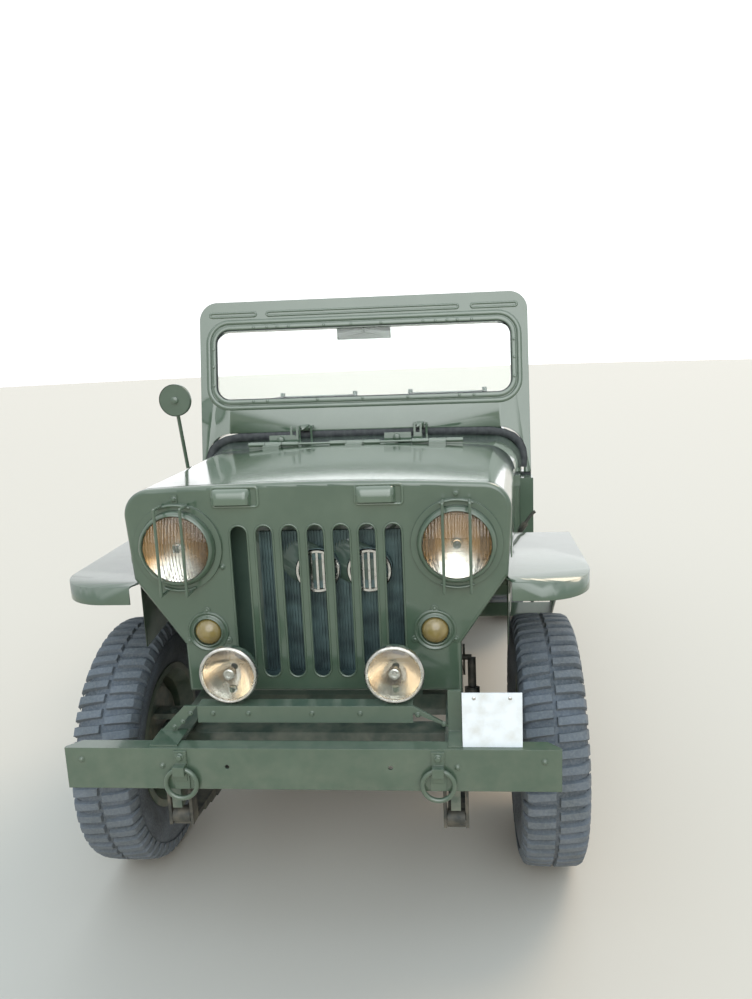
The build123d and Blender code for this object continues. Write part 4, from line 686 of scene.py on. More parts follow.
def dish_profile(radius, depth, hole, edge, steps=10):
    """Half section of a bowl-shaped reflector, from its mouth to the bulb hole."""
    share = depth / (radius ** 2 - hole ** 2)
    return [(edge - depth + share * (r ** 2 - hole ** 2), r)
            for r in (radius - (radius - hole) * i / steps for i in range(steps + 1))]


def millimetres(profile):
    """A profile given in millimetres, in metres."""
    return [(along / 1000, radius / 1000) for along, radius in profile]


def reflector(name, middle, height, edge):
    """Silvered dish with a painted reflection: its silver is drawn turning towards a brown tint upwards and
    to its sides.
    """
    material, tree, shader, place = finish(name)
    haze = cloud(tree, place, 40.0, 0.5, 0.8, 6.0)
    parts = add(tree, "ShaderNodeSeparateXYZ", {"Vector": place}).outputs
    offset = calc(tree, "SUBTRACT", calc(tree, "ABSOLUTE", parts["X"]), middle / 1000)
    raised = calc(tree, "SUBTRACT", parts["Z"], height / 1000)
    spread = calc(tree, "ADD", calc(tree, "ABSOLUTE", offset), raised)
    # painted reflection: the silver is drawn turning brown away from the lamp's middle and upwards, as the
    # brown ground seen in it would look
    silver_and_painted_reflection = over(tree, eased(tree, spread, -0.03, 0.05, 0.0, 1.0), colour("E9E7DF"), colour(edge))
    tree.links.new(over(tree, times(tree, haze, 0.5), silver_and_painted_reflection, colour("9A835F")), shader.inputs["Base Color"])
    shader.inputs["Metallic"].default_value = 1.0
    rough = add(tree, "ShaderNodeMapRange", {"Value": haze, "To Min": 0.16, "To Max": 0.36}).outputs[0]
    tree.links.new(rough, shader.inputs["Roughness"])
    relief(tree, shader, [(cloud(tree, place, 90.0, 0.2, 0.8), 0.15)])
    return material


silvered = reflector("headlamp_silver_painted_reflection", HEAD_X, HEAD_Z, "B08A5C")


def lamp_glass(name, flute, depth):
    """Clear pressed glass with upright flutes of a width and depth in millimetres."""
    material, tree, shader, place = finish(name)
    shader.inputs["Base Color"].default_value = colour("F4F6F4")
    shader.inputs["Transmission Weight"].default_value = 1.0
    shader.inputs["IOR"].default_value = 1.47
    shader.inputs["Roughness"].default_value = 0.02
    parts = add(tree, "ShaderNodeSeparateXYZ", {"Vector": place}).outputs
    wave = calc(tree, "SINE", times(tree, parts["X"], 2000 * pi / flute))
    step = calc(tree, "SINE", times(tree, parts["Z"], 2000 * pi / (flute * 7)))
    rows = times(tree, calc(tree, "GREATER_THAN", step, 0.2), 0.35)
    flutes = calc(tree, "MULTIPLY_ADD", wave, 0.5, 0.5)
    relief(tree, shader, [(flutes, depth), (rows, depth), (cloud(tree, place, 60.0, 0.2, 0.8), 0.1)])
    return material


head_glass = lamp_glass("fluted_headlamp_glass", 8.4, 1.1)
# profiles turned about each lamp's axis, as along and radius in millimetres
PRESSED_RING = [(-1, 119), (3, 118.5), (5.5, 116), (6, 113), (4.5, 110), (1.5, 108.5), (-1, 108)]
HEAD_RIM = [(-2, 102), (12, 102), (20, 100.5), (26, 97), (29, 93), (29.5, 90.5), (27, 88.8),
            (22, 88.2), (-2, 88.2)]
HEAD_BULB = [(21, 0), (20.5, 7), (17, 11), (11, 12), (6, 10), (1.5, 10), (1.5, 0)]
HEAD_DOME = [(23 + along, radius) for along, radius in arch_profile(21, 88, 3.2)]
rims, dishes, glasses, bulbs = (bmesh.new() for _ in range(4))
for x in (-HEAD_X, HEAD_X):
    hub = on_grille(x, HEAD_Z, 0)
    spun(rims, millimetres(PRESSED_RING), hub, front, 96)
    spun(rims, millimetres(HEAD_RIM), hub, front, 96)
    spun(dishes, millimetres(dish_profile(88, 19.5, 13, 21)), hub, front, 96, closed=False)
    spun(glasses, millimetres(HEAD_DOME), hub, front, 96, closed=False)
    spun(bulbs, millimetres(HEAD_BULB), hub, front, 32, closed=False)
piece("headlamp_rims", rims, "car", body_enamel)
piece("headlamp_dishes", dishes, "car", silvered)
piece("headlamp_bulbs", bulbs, "car", lamp_glass("bulb_glass", 60.0, 0.0))
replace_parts(piece("headlamp_glasses", glasses, "car", head_glass), "lamp_lenses")

# Fog lamps: round bowls on short stalks over the lamp bar, dulled chrome rims, clear
# glass, a dish and a shielded bulb.
FOG_X, FOG_STATION, FOG_Z, FOG_STALK_Z = 207, -422, 751, 674
fog_silver = reflector("fog_lamp_silver", FOG_X, FOG_Z, "CBB79D")
fog_glass = lamp_glass("clear_fog_lamp_glass", 9.0, 0.12)
FOG_BOWL = [(3, 65), (3, 72.5), (-10, 72), (-26, 67), (-42, 57), (-55, 42), (-62, 24), (-64, 0)]
FOG_STALK = [(0, 0), (0, 15), (4, 15), (4, 9), (36, 9), (36, 0)]
FOG_RIM = [(0, 73.2), (6, 74.2), (10.5, 73), (13, 70), (13, 67), (10.5, 65), (3, 64.4), (0, 66)]
FOG_SHIELD = [(2, 0), (2, 6), (4, 8), (4, 11), (2.5, 13.5), (-2, 15), (-12, 15.5), (-12, 14), (0, 0)]
FOG_DOME = [(8 + along, radius) for along, radius in arch_profile(9, 64.5, 2.6)]
bowls, rims, dishes, glasses, caps = (bmesh.new() for _ in range(5))
for x in (-FOG_X, FOG_X):
    hub = spot(x, FOG_STATION, FOG_Z)
    foot = spot(x, FOG_STATION + 20, FOG_STALK_Z)
    spun(bowls, millimetres(FOG_BOWL), hub, front, 72, closed=False)
    spun(bowls, millimetres([(0, 9), (0.1, 0)]), foot + upright * 0.002, -upright, 24, closed=False)
    spun(bowls, millimetres(FOG_STALK), foot, upright, 24, closed=False)
    spun(rims, millimetres(FOG_RIM), hub, front, 96)
    spun(dishes, millimetres(dish_profile(64.5, 50, 9, 3)), hub, front, 72, closed=False)
    spun(glasses, millimetres(FOG_DOME), hub, front, 72, closed=False)
    spun(caps, millimetres(FOG_SHIELD), hub, front, 40, closed=False)
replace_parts(piece("fog_lamp_bowls", bowls, "car", body_enamel), "lamp_bowls")
piece("fog_lamp_rims", rims, "car", bright)
piece("fog_lamp_dishes", dishes, "car", fog_silver)
piece("fog_lamp_shields", caps, "car", bright)
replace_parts(piece("fog_lamp_glasses", glasses, "car", fog_glass), "lamp_lenses")

# Marker lamps: domed amber glass, gone dull, in a green pressed ring with three ears that
# are screwed to the grille panel.
MARKER_X, MARKER_Z = 304, 804
amber, tree, shader, place = finish("amber_glass")
shade = cloud(tree, place, 45.0, 0.35, 0.7)
dulled = over(tree, times(tree, shade, 0.5), colour("A08A52"), colour("7A6536"))
tree.links.new(dulled, shader.inputs["Base Color"])
shader.inputs["Roughness"].default_value = 0.16
shader.inputs["Transmission Weight"].default_value = 0.25
shader.inputs["Coat Weight"].default_value = 0.6
relief(tree, shader, [(cloud(tree, place, 120.0, 0.2, 0.8), 0.1)])
MARKER_RING = [(-1, 56), (2, 56), (4.5, 54), (5, 51.5), (3, 49), (1.5, 46.5), (3, 43.5), (8, 41),
               (9, 39), (8, 37), (-1, 36.2)]
MARKER_EAR = [(-1, 0), (-1, 10), (2, 10), (3, 9), (3, 0)]
MARKER_DOME = [(2 + along, radius) for along, radius in arch_profile(21, 35.5, 3)]


def round_screw():
    """Round head one unit across, with its foot at the origin."""
    head = [(0, 0.5), (0.12, 0.5), (0.24, 0.4), (0.3, 0.2), (0.3, 0.0)]
    return spun(bmesh.new(), head, Vector((0, 0, 0)), upright, 16, closed=False)


rings, domes = bmesh.new(), bmesh.new()
screws = []
for x in (-MARKER_X, MARKER_X):
    hub = on_grille(x, MARKER_Z, 0)
    spun(rings, millimetres(MARKER_RING), hub, front, 72)
    spun(domes, millimetres(MARKER_DOME), hub, front, 56, closed=False)
    for turn in (90, 205, 335):
        ear = hub + Vector((cos(radians(turn)), 0, sin(radians(turn)))) * 0.059
        spun(rings, millimetres(MARKER_EAR), ear, front, 24, closed=False)
        screws.append((ear + front * 0.003, front, leftward))
piece("marker_rings", rings, "car", body_enamel)
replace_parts(piece("marker_glasses", domes, "car", amber), "marker_lamps")
repeated("marker_screws", round_screw(), screws, body_enamel, 0.009)

# Lamp guards: two upright wires before each headlamp, tied by short arcs above and
# below and held by an ear with a bolt on the grille.
coat(body_enamel, "lamp_guards")


def wire(bm, points, radius, sides=10):
    """Round bar along points, closed at both ends."""
    rings = []
    normal = None
    for i, point in enumerate(points):
        along = (points[min(i + 1, len(points) - 1)] - points[max(i - 1, 0)]).normalized()
        normal = along.orthogonal() if normal is None else normal - normal.dot(along) * along
        normal.normalize()
        other = along.cross(normal)
        turns = (2 * pi * k / sides for k in range(sides))
        rings.append([bm.verts.new(point + radius * (cos(a) * normal + sin(a) * other)) for a in turns])
    for near, far in zip(rings, rings[1:]):
        for k in range(sides):
            bm.faces.new((near[k], near[(k + 1) % sides], far[(k + 1) % sides], far[k]))
    bm.faces.new(rings[0][::-1])
    bm.faces.new(rings[-1])
    return bm


ARC_RADIUS, ARC_WIRE, GUARD_FORWARD, EAR_THICK = 115, 0.0038, 11, 3
arcs = bmesh.new()
bolts = []
for x in (-HEAD_X, HEAD_X):
    for middle in (90, 270):
        turns = [radians(middle + t) for t in range(-22, 23, 4)]
        around = [(x + ARC_RADIUS * cos(turn), HEAD_Z + ARC_RADIUS * sin(turn)) for turn in turns]
        wire(arcs, [on_grille(across, up, GUARD_FORWARD) for across, up in around], ARC_WIRE)
    block(arcs, on_grille(x - 9, HEAD_Z + 108, EAR_THICK), on_grille(x + 9, HEAD_Z + 142, 0))
    bolts.append((on_grille(x, HEAD_Z + 130, EAR_THICK), front, leftward))
piece("guard_arcs", arcs, "car", body_enamel)
repeated("guard_bolts", hexagon_bolt(), bolts, body_enamel, 0.015)

# Front bumper: a folded channel with a towing ring hung in a bolted strap at each side,
# brushed green over older coats. Plain holes and bolt heads show on its face.
coat(body_enamel, "front_bumper")
BUMPER_FACE, STRAP_X = -520, 311


def round_head():
    """Domed bolt head one unit across on a thin washer."""
    head = [(0, 0.5), (0.06, 0.5), (0.08, 0.36), (0.22, 0.30), (0.30, 0.16), (0.32, 0.0)]
    return spun(bmesh.new(), head, Vector((0, 0, 0)), upright, 20, closed=False)


def bolted(station, holes):
    """Places of fastenings that point forward, from (across, up)."""
    return [(spot(x, station, z), front, leftward) for x, z in holes]


bm = bmesh.new()
for x in (-STRAP_X, STRAP_X):
    block(bm, spot(x - 19, BUMPER_FACE - 3.5, 500), spot(x + 19, BUMPER_FACE + 0.5, 546))
    block(bm, spot(x - 16, BUMPER_FACE - 5, 568), spot(x + 16, BUMPER_FACE + 0.5, 600))
piece("ring_plates", bm, "car", body_enamel)
straps = bolted(BUMPER_FACE - 6, [(-STRAP_X, 586), (STRAP_X, 586)])
repeated("ring_strap_bolts", hexagon_bolt(), straps, body_enamel, 0.021)
through = bolted(BUMPER_FACE, [(-358, 560), (357, 560), (-560, 575), (560, 575)])
repeated("bumper_bolts", round_head(), through, body_enamel, 0.017)
repeated("grille_screw", round_head(), bolted(GRILLE_FACE, [(-252, 983)]), body_enamel, 0.018)

# Lamp bar and its straps: a folded bar between two bent straps, bolted through the
# bumper's top flange and through the bar.
coat(body_enamel, "lamp_bar")
BAR_FACE = -440
heads = bolted(BAR_FACE, [(-308, 655), (-330, 632), (-352, 618), (-250, 655), (-160, 655), (0, 655),
                          (120, 655), (262, 652), (325, 628)])
repeated("lamp_bar_bolts", hexagon_bolt(), heads, body_enamel, 0.014)

# Number plate: a plain sheet in white enamel, a little uneven and soiled, with two small
# screws. It stands on the bumper at the car's left.
plate_white, tree, shader, place = finish("plain_white_enamel")
soiled = over(tree, cloud(tree, place, 30.0, 0.4, 0.75, 6.0), colour("EDEDEA"), colour("D9D5CB"))
tree.links.new(soiled, shader.inputs["Base Color"])
shader.inputs["Roughness"].default_value = 0.4
relief(tree, shader, [(cloud(tree, place, 12.0, 0.2, 0.8), 0.6)], 1.0)
coat(plate_white, "number_plate")
PLATE_FACE = -508.2
corners = bolted(PLATE_FACE, [(398, 729), (482, 729)])
repeated("plate_screws", round_screw(), corners, bright, 0.009)

# Hood and cowl: one shallow pressing with a folded front and straight sides, hinged along
# its rear edge to the cowl by screwed leaves. Their enamel is the glossiest of the car, and its
# green is drawn lighter than the same enamel on the grille: a painted highlight for the sky-lit top.
top_enamel_painted_lighter = enamel("glossy_top_enamel_painted_lighter", "556551", 0.1, 0.12, brushed=0.08)
top_enamel_painted_lighter.node_tree.nodes["Principled BSDF"].inputs["Coat Weight"].default_value = 1.0
coat(top_enamel_painted_lighter, "hood", "cowl")
screws = [(spot(middle + lean, 590, 1196), upright, leftward)
          for middle in (-300, 0, 300) for lean in (-26, 26)]
repeated("hinge_screws", round_screw(), screws, top_enamel_painted_lighter, 0.011)

# Front fenders: flat-topped steel pressings with a rolled front edge, bolted to the frame
# and the cowl. The edge ends at the side of the grille panel.
fender_enamel = enamel("glossy_fender_enamel", "4C5C49", 0.2, 0.15, brushed=0.08)
LIP_STATION, LIP_REACH, LIP_END = -268, 0.49, 0.504


def shorten_lip(point):
    """Moves the inner end of the front lip out to the side of the grille panel."""
    if point.y < spot(0, LIP_STATION, 0).y and abs(point.x) < LIP_REACH:
        point.x = LIP_END if point.x > 0 else -LIP_END


for hand in ("left", "right"):
    redrawn("fender_pressing_" + hand, "fender_" + hand, shorten_lip, "car", fender_enamel)

# Hood latches: at each side a sprung steel lever on a foot at the fender's inner wall, and
# a small bracket on the side of the hood for it to hook over.
LATCH_STATION, LEVER_WIRE, COIL_WIRE, COIL_RADIUS = 390, 0.0055, 0.0018, 10
LEVER = [Vector((x, 0, z)) for x, z in
         ((566, 884), (574, 893), (596, 925), (612, 948), (622, 960), (630, 966))]
along, across = Vector((0.56, 0, 0.83)), Vector((0.83, 0, -0.56))
coil = [LEVER[1] + along * (4 + t / 60) + COIL_RADIUS * (across * cos(radians(t)) + back * sin(radians(t)))
        for t in range(0, 2161, 30)]
brackets, feet, rods = bmesh.new(), bmesh.new(), bmesh.new()
for sign in (-1, 1):
    block(brackets, spot(sign * 570 - 9, 376, 1058), spot(sign * 570 + 9, 404, 1094))
    block(feet, spot(sign * 562 - 11, 378, 866), spot(sign * 562 + 11, 402, 890))
    wire(rods, [spot(sign * p.x, LATCH_STATION, p.z) for p in LEVER], LEVER_WIRE)
    wire(rods, [spot(sign * p.x, LATCH_STATION + p.y, p.z) for p in coil], COIL_WIRE, 6)
piece("hood_latch_plates", brackets, "hood", top_enamel_painted_lighter)
piece("hood_latch_feet", feet, "car", top_enamel_painted_lighter)
piece("hood_latch_rods", rods, "car", spring_steel)

# Dash: two dials in plain bezels, with ticks and a needle and no lettering, and a row of
# switches. The dash itself is one piece with the cowl.


def surface(*names):
    """Search trees of CAD nodes."""
    trees = []
    for name in names:
        shape = nodes[name].data
        points, faces = [v.co for v in shape.vertices], [p.vertices for p in shape.polygons]
        trees.append(BVHTree.FromPolygons(points, faces))
    return trees


def seat_on(trees, start, aim):
    """First point on the trees from a start along an aim, or None."""
    found = [tree.ray_cast(start, aim)[0] for tree in trees]
    found = [point for point in found if point is not None]
    return min(found, key=lambda point: (point - start).length) if found else None


dial_black, tree, shader, place = finish("matt_dial_black")
shader.inputs["Base Color"].default_value = colour("16191A")
shader.inputs["Roughness"].default_value = 0.45
dial_white, tree, shader, place = finish("painted_dial_marks")
shader.inputs["Base Color"].default_value = colour("E8E4D4")
shader.inputs["Roughness"].default_value = 0.5
dash = surface("cowl")
DASH_REACH, DIAL_SWEEP = 1060, 260
needle = Vector((-0.7, 0, -0.7))
bezels, faces, marks = bmesh.new(), bmesh.new(), bmesh.new()
# across, height and radius of each dial, and the spaces between its ticks
for x, z, radius, spaces in ((-120, 1085, 58, 20), (0, 1110, 26, 6)):
    hub = seat_on(dash, spot(x, DASH_REACH, z), -back)
    r = radius / 1000
    rim = [(0, r + 0.003), (0.005, r + 0.002), (0.007, r - 0.002), (0.005, r - 0.005), (0, r - 0.005)]
    spun(bezels, rim, hub, back, 56)
    spun(faces, [(0.0012, 0), (0.0012, r - 0.004)], hub, back, 48, closed=False)
    for i in range(spaces + 1):
        turn = radians(DIAL_SWEEP * (i / spaces - 0.5))
        away = Vector((sin(turn), 0, cos(turn)))
        inner, thick = (0.72, 0.0008) if i % 5 else (0.62, 0.0012)
        wire(marks, [hub + back * 0.0016 + away * r * share for share in (inner, 0.85)], thick, 4)
    wire(marks, [hub + back * 0.002 + needle * r * share for share in (-0.12, 0.66)], 0.0011, 5)
piece("dial_bezels", bezels, "car", bright)
piece("dial_faces", faces, "car", dial_black)
piece("dial_marks", marks, "car", dial_white)
KNOB = [(0, 0.005), (0.012, 0.005), (0.014, 0.010), (0.022, 0.011), (0.025, 0.008), (0.025, 0.0)]
knobs = bmesh.new()
for x, z in ((70, 1095), (110, 1095), (-30, 1040), (20, 1040), (70, 1040), (-200, 1040)):
    hub = seat_on(dash, spot(x, DASH_REACH, z), -back)
    spun(knobs, KNOB, hub, back, 24, closed=False)
piece("dash_knobs", knobs, "car", dial_black)

# Windshield frame: a welded pressing with a raised bead round its opening, three ribs in
# its header and a bolted inner frame that clamps the glass. The inner mirror hangs in it.
MIRROR_STATION, MIRROR_REACH, MIRROR_FOOT, MIRROR_DROP = 962, 0.114, 1.59, 0.048


def lower_mirror(point):
    """Moves the inner mirror down, to hang a little below the header."""
    behind = point.y > spot(0, MIRROR_STATION, 0).y
    if behind and abs(point.x) < MIRROR_REACH and point.z > MIRROR_FOOT:
        point.z -= MIRROR_DROP


redrawn("screen_pressing", "windshield_frame", lower_mirror, "windshield", top_enamel_painted_lighter)
RAKE, SCREEN_HALF, OPENING_UP = radians(11), 13, 336
SCREEN_FOOT = spot(0, 828, 1147)
SCREEN_UP = Vector((0, sin(RAKE), cos(RAKE)))
SCREEN_FRONT = Vector((0, -cos(RAKE), sin(RAKE)))


def on_screen(x, up, forward):
    """Point on the raked frame: across, up its slope and out from its front face."""
    away = SCREEN_FRONT * (SCREEN_HALF + forward)
    return SCREEN_FOOT + (leftward * x + SCREEN_UP * up + away) / 1000


def ridge(width, rise):
    """Section of a pressed half-round rib."""
    half = width / 2
    rising = [(half, -1), (half, 0), (half * 0.7, rise * 0.55), (half * 0.3, rise * 0.95)]
    return rising + [(-across, up) for across, up in reversed(rising)]


bm = bmesh.new()
opening = [(x, up + OPENING_UP) for x, up in rounded(620, 172, 84)]
sweep(bm, opening, ridge(20, 4.5), on_screen)
for start, end in ((-612, -424), (-380, 385), (436, 614)):
    ends = [(x + (start + end) / 2, up + 538) for x, up in rounded((end - start) / 2, 8, 8)]
    sweep(bm, ends, ridge(9, 3.5), on_screen)
piece("screen_ribs", bm, "windshield", top_enamel_painted_lighter, angle=60)
bm = bmesh.new()
sweep(bm, [(x, up + OPENING_UP) for x, up in rounded(597, 148, 62)],
      [(11, -2), (11, 3), (9, 5), (-5, 5), (-7, 3.5), (-7, -3)], on_screen)
piece("glass_clamp", bm, "windshield", top_enamel_painted_lighter, angle=60)
black_rubber, tree, shader, place = finish("black_rubber_strip")
tree.links.new(over(tree, cloud(tree, place, 50.0, 0.35, 0.7, 6.0), colour("1E2122"), colour("3C3E3C")),
               shader.inputs["Base Color"])
shader.inputs["Roughness"].default_value = 0.6
bm = bmesh.new()
sweep(bm, [(x, up + OPENING_UP) for x, up in rounded(590, 141, 56)],
      [(5, -6), (5, 0), (3, 2.5), (-2, 1.5), (-4, -1), (-4, -6)], on_screen)
piece("glass_rubber", bm, "windshield", black_rubber, angle=60)
along_top = [(x, 484) for x in (-434, -380, -338, -292, -150, -40, 80, 246, 295, 341, 381, 437)]
along_foot = [(x, 188) for x in (-440, -383, -180, 0, 180, 383, 440)]
up_sides = [(sign * 600, up) for sign in (-1, 1) for up in (255, 330, 400)]
places = [(on_screen(x, up, 5), SCREEN_FRONT, leftward) for x, up in along_top + along_foot + up_sides]
repeated("clamp_screws", round_screw(), places, top_enamel_painted_lighter, 0.012, "windshield")

# Windshield glass: one flat laminated pane, faintly green, with a thin film of dust that
# dulls it in patches.
pane, tree, shader, place = finish("flat_clear_glass")
shader.inputs["Base Color"].default_value = colour("F3F8F5")
shader.inputs["Transmission Weight"].default_value = 1.0
shader.inputs["IOR"].default_value = 1.45
dust = cloud(tree, place, 12.0, 0.45, 0.8, 8.0)
tree.links.new(add(tree, "ShaderNodeMapRange", {"Value": dust, "To Min": 0.0, "To Max": 0.08}).outputs[0],
               shader.inputs["Roughness"])
coat(pane, "windshield_glass")

# Rubber strip: a moulded black strip between the foot of the windshield and the cowl. It
# follows the arch of the frame and ends on a buffer at each side.
bend = [(-629, -100), (-633, -60), (-629, -28), (-616, 2), (-592, 26), (-556, 42), (-500, 52)]
crown = [(x, 52 + 3 * (1 - (x / 460) ** 2)) for x in range(-460, 461, 92)]
arch = bend + crown + [(-x, up) for x, up in reversed(bend)]
bm = bmesh.new()
sweep(bm, arch, [(-9, -14), (-9, 2), (-4, 5), (7, 5), (21, 2), (24, -4), (24, -14)], on_screen, closed=False)
for sign in (-1, 1):
    block(bm, spot(sign * 637 - 17, 790, 1021.5), spot(sign * 637 + 17, 816, 1030))
piece("arch_rubber", bm, "windshield", black_rubber, angle=60)

# Windshield catches: two folded steel plates on the cowl under the strip, each with a
# round knob that holds the frame upright.
CATCH_STATION = 596
CATCH_KNOB = [(0, 11), (4, 11), (6, 13), (12, 13), (14, 10), (14, 0)]
bm, knobs = bmesh.new(), bmesh.new()
# both ends of each plate across the car, and its knob
for low, high, knob in ((-322, -225, -279), (105, 204, 151)):
    block(bm, spot(low, CATCH_STATION, 1184), spot(high, CATCH_STATION + 4, 1224))
    block(bm, spot(low, CATCH_STATION, 1184), spot(high, 622, 1188))
    spun(knobs, millimetres(CATCH_KNOB), spot(knob, CATCH_STATION, 1207), front, 24, closed=False)
piece("catch_plates", bm, "car", top_enamel_painted_lighter)
piece("catch_knobs", knobs, "car", body_enamel)

# Mirrors: silvered glass set in the round side mirror and in the small inner mirror. The
# side mirror's pressed back, its rim and its arm are green.
coat(body_enamel, "side_mirror")
mirror_silver, tree, shader, place = finish("silvered_mirror_glass")
shader.inputs["Base Color"].default_value = colour("E9ECEC")
shader.inputs["Metallic"].default_value = 1.0
shader.inputs["Roughness"].default_value = 0.03
MIRROR_X, MIRROR_BACK, MIRROR_Z = -682, 632, 1363
MIRROR_RIM = [(-0.013, 0.0590), (-0.011, 0.0605), (0.0015, 0.0605), (0.003, 0.0585), (0.001, 0.0575)]
boss = [(0, 0.014), (-0.006, 0.014), (-0.009, 0.010), (-0.009, 0.0)]
bm = bmesh.new()
silvered_face = spot(MIRROR_X, MIRROR_BACK + 12, MIRROR_Z)
spun(bm, [(0, 0.054), (0.0015, 0.053), (0.002, 0.0)], silvered_face, back, 48, closed=False)
block(bm, spot(-104, 996.5, 1569), spot(104, 998.5, 1615))
piece("mirror_glasses", bm, "windshield", mirror_silver)
bm = bmesh.new()
spun(bm, MIRROR_RIM, spot(MIRROR_X, MIRROR_BACK + 11, MIRROR_Z), back, 64)
spun(bm, boss, spot(MIRROR_X, MIRROR_BACK, MIRROR_Z), back, 24, closed=False)
piece("mirror_rim", bm, "windshield", body_enamel)

# Tub: folded and welded sheet in the same green, with pressed ribs along its floor and
# sides and a rolled edge on top.
inside_enamel = enamel("tub_enamel", "4E6153", 0.32, 0.55)
coat(body_enamel, "tub_left", "tub_right")
coat(inside_enamel, "tub_floor")
TUB_SIDE = 656
tub_floor = surface("tub_floor")
bm = bmesh.new()
for x in (-400, -240, -80, 80, 240, 400):
    for start, end in ((1420, 2080), (2130, 2660)):
        feet = [seat_on(tub_floor, spot(x, station, 700), -upright) for station in (start, end)]
        if None in feet:
            continue
        z = feet[0].z * 1000

        def on_floor(across, along, rise, x=x, z=z):
            """Point over the floor, beside the middle of one rib."""
            return spot(x + across, along, z + rise)

        middle, half = (start + end) / 2, (end - start) / 2
        outline = [(across, along + middle) for across, along in rounded(14, half, 13)]
        sweep(bm, outline, [(4, -1), (3, 2), (0, 3.5), (-6, 3.5), (-6, -1)], on_floor)
piece("floor_ribs", bm, "car", inside_enamel, angle=60)
bm = bmesh.new()
for sign in (-1, 1):

    def on_side(station, z, out, sign=sign):
        """Point on one side of the tub or a little out from it."""
        return spot(sign * (TUB_SIDE + out), station, z)

    for start, end, z in ((1560, 2640, 962), (2480, 2640, 760)):
        outline = [(a + (start + end) / 2, b + z) for a, b in rounded((end - start) / 2, 9, 9)]
        sweep(bm, outline, ridge(10, 3.5), on_side)
piece("side_ribs", bm, "car", body_enamel, angle=60)

# Tailgate: a flat steel door with two pressed frames, hung on two lugs along its lower
# edge and latched at its top corners.
coat(body_enamel, "tailgate", "rear_fittings")
GATE_FACE = 2717.5


def on_gate(x, z, out):
    """Point on the tailgate or a little behind it."""
    return spot(x, GATE_FACE + out, z)


bm = bmesh.new()
for middle in (-208, 208):
    sweep(bm, [(x + middle, z + 812) for x, z in rounded(180, 130, 26)], ridge(16, 4), on_gate)
piece("gate_ribs", bm, "tailgate", body_enamel, angle=60)

# Tail lamps: red ribbed glass over a green bowl in each rear corner of the tub, held by a
# bright ring and two screws.
red_glass, tree, shader, place = finish("ribbed_red_glass")
shader.inputs["Base Color"].default_value = colour("A3141A")
shader.inputs["Roughness"].default_value = 0.12
shader.inputs["Transmission Weight"].default_value = 0.35
RIB_PITCH = 6.0
parts = add(tree, "ShaderNodeSeparateXYZ", {"Vector": place}).outputs
wave = calc(tree, "SINE", times(tree, parts["X"], 2000 * pi / RIB_PITCH))
relief(tree, shader, [(calc(tree, "MULTIPLY_ADD", wave, 0.5, 0.5), 0.5)])
TAIL_LENS = [(0, 37), (5, 37), (9, 34), (11.5, 24), (12.5, 10), (12.8, 0)]
bowls, lenses, rings = bmesh.new(), bmesh.new(), bmesh.new()
screws = []
for x in (-560, 560):
    hub = spot(x, 2712, 860)
    spun(bowls, millimetres([(-20, 44), (-2, 44), (0, 42), (0, 0)]), hub, back, 48, closed=False)
    spun(lenses, millimetres(TAIL_LENS), hub, back, 48, closed=False)
    spun(rings, millimetres([(0, 43.5), (4, 43), (6, 40), (5, 37), (0, 37)]), hub, back, 48)
    screws += [(hub + Vector((0, 0.0105, sign * 0.02)), back, leftward) for sign in (-1, 1)]
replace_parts(piece("tail_lamp_bowls", bowls, "car", body_enamel), "tail_lamps")
piece("tail_lamp_lenses", lenses, "car", red_glass)
piece("tail_lamp_rings", rings, "car", bright)
repeated("tail_lamp_screws", round_screw(), screws, bright, 0.007)

# Frames of the seats and the bench, and the steering column: bent steel tube and flat
# strip sprayed with the tub. The fuel tank under the driver has its own enamel.
coat(inside_enamel, "seat_frames", "bench_frame", "steering_column")
coat(tank_enamel, "fuel_tank")

# Cushions: foam under dark green imitation leather, with a welt sewn round both edges. The
# grain is drawn coarser than it is, so that it shows.
hide, tree, shader, place = finish("green_imitation_leather")
wear = cloud(tree, place, 6.0, 0.4, 0.7, 6.0)
worn = over(tree, times(tree, wear, 0.5), colour("2B352D"), colour("4B5547"))
tree.links.new(worn, shader.inputs["Base Color"])
shader.inputs["Roughness"].default_value = 0.5
grain = add(tree, "ShaderNodeTexVoronoi", {"Vector": place, "Scale": 420.0}).outputs["Distance"]
relief(tree, shader, [(cloud(tree, place, 14.0, 0.3, 0.7, 5.0, 0.6), 1.6), (grain, 0.25)])
PAD_SHRINK, PAD_CAP, PAD_VOXEL = 0.008, 0.009, 0.010
COVER_PRESSURE, COVER_FRAMES = 4.0, 20


def pads(node):
    """The closed solids of a node as meshes of their own, lowest first."""
    whole = bmesh.new()
    whole.from_mesh(nodes[node].data)
    bmesh.ops.remove_doubles(whole, verts=whole.verts, dist=1e-5)
    left = set(whole.verts)
    groups = []
    while left:
        group, edge = set(), [left.pop()]
        while edge:
            vert = edge.pop()
            group.add(vert)
            near = [e.other_vert(vert) for e in vert.link_edges]
            edge += [v for v in near if v in left]
            left -= set(near)
        groups.append(group)
    parts = []
    for group in groups:
        bm = bmesh.new()
        twin = {v: bm.verts.new(v.co) for v in group}
        for f in {f for v in group for f in v.link_faces}:
            bm.faces.new([twin[v] for v in f.verts])
        parts.append(bm)
    whole.free()
    return sorted(parts, key=lambda bm: sum(v.co.z for v in bm.verts) / len(bm.verts))


def settle(made):
    """Applies what an object's modifiers show now."""
    bpy.context.view_layer.update()
    shot = made.evaluated_get(bpy.context.evaluated_depsgraph_get())
    mesh = bpy.data.meshes.new_from_object(shot)
    made.modifiers.clear()
    old = made.data
    made.data = mesh
    bpy.data.meshes.remove(old)


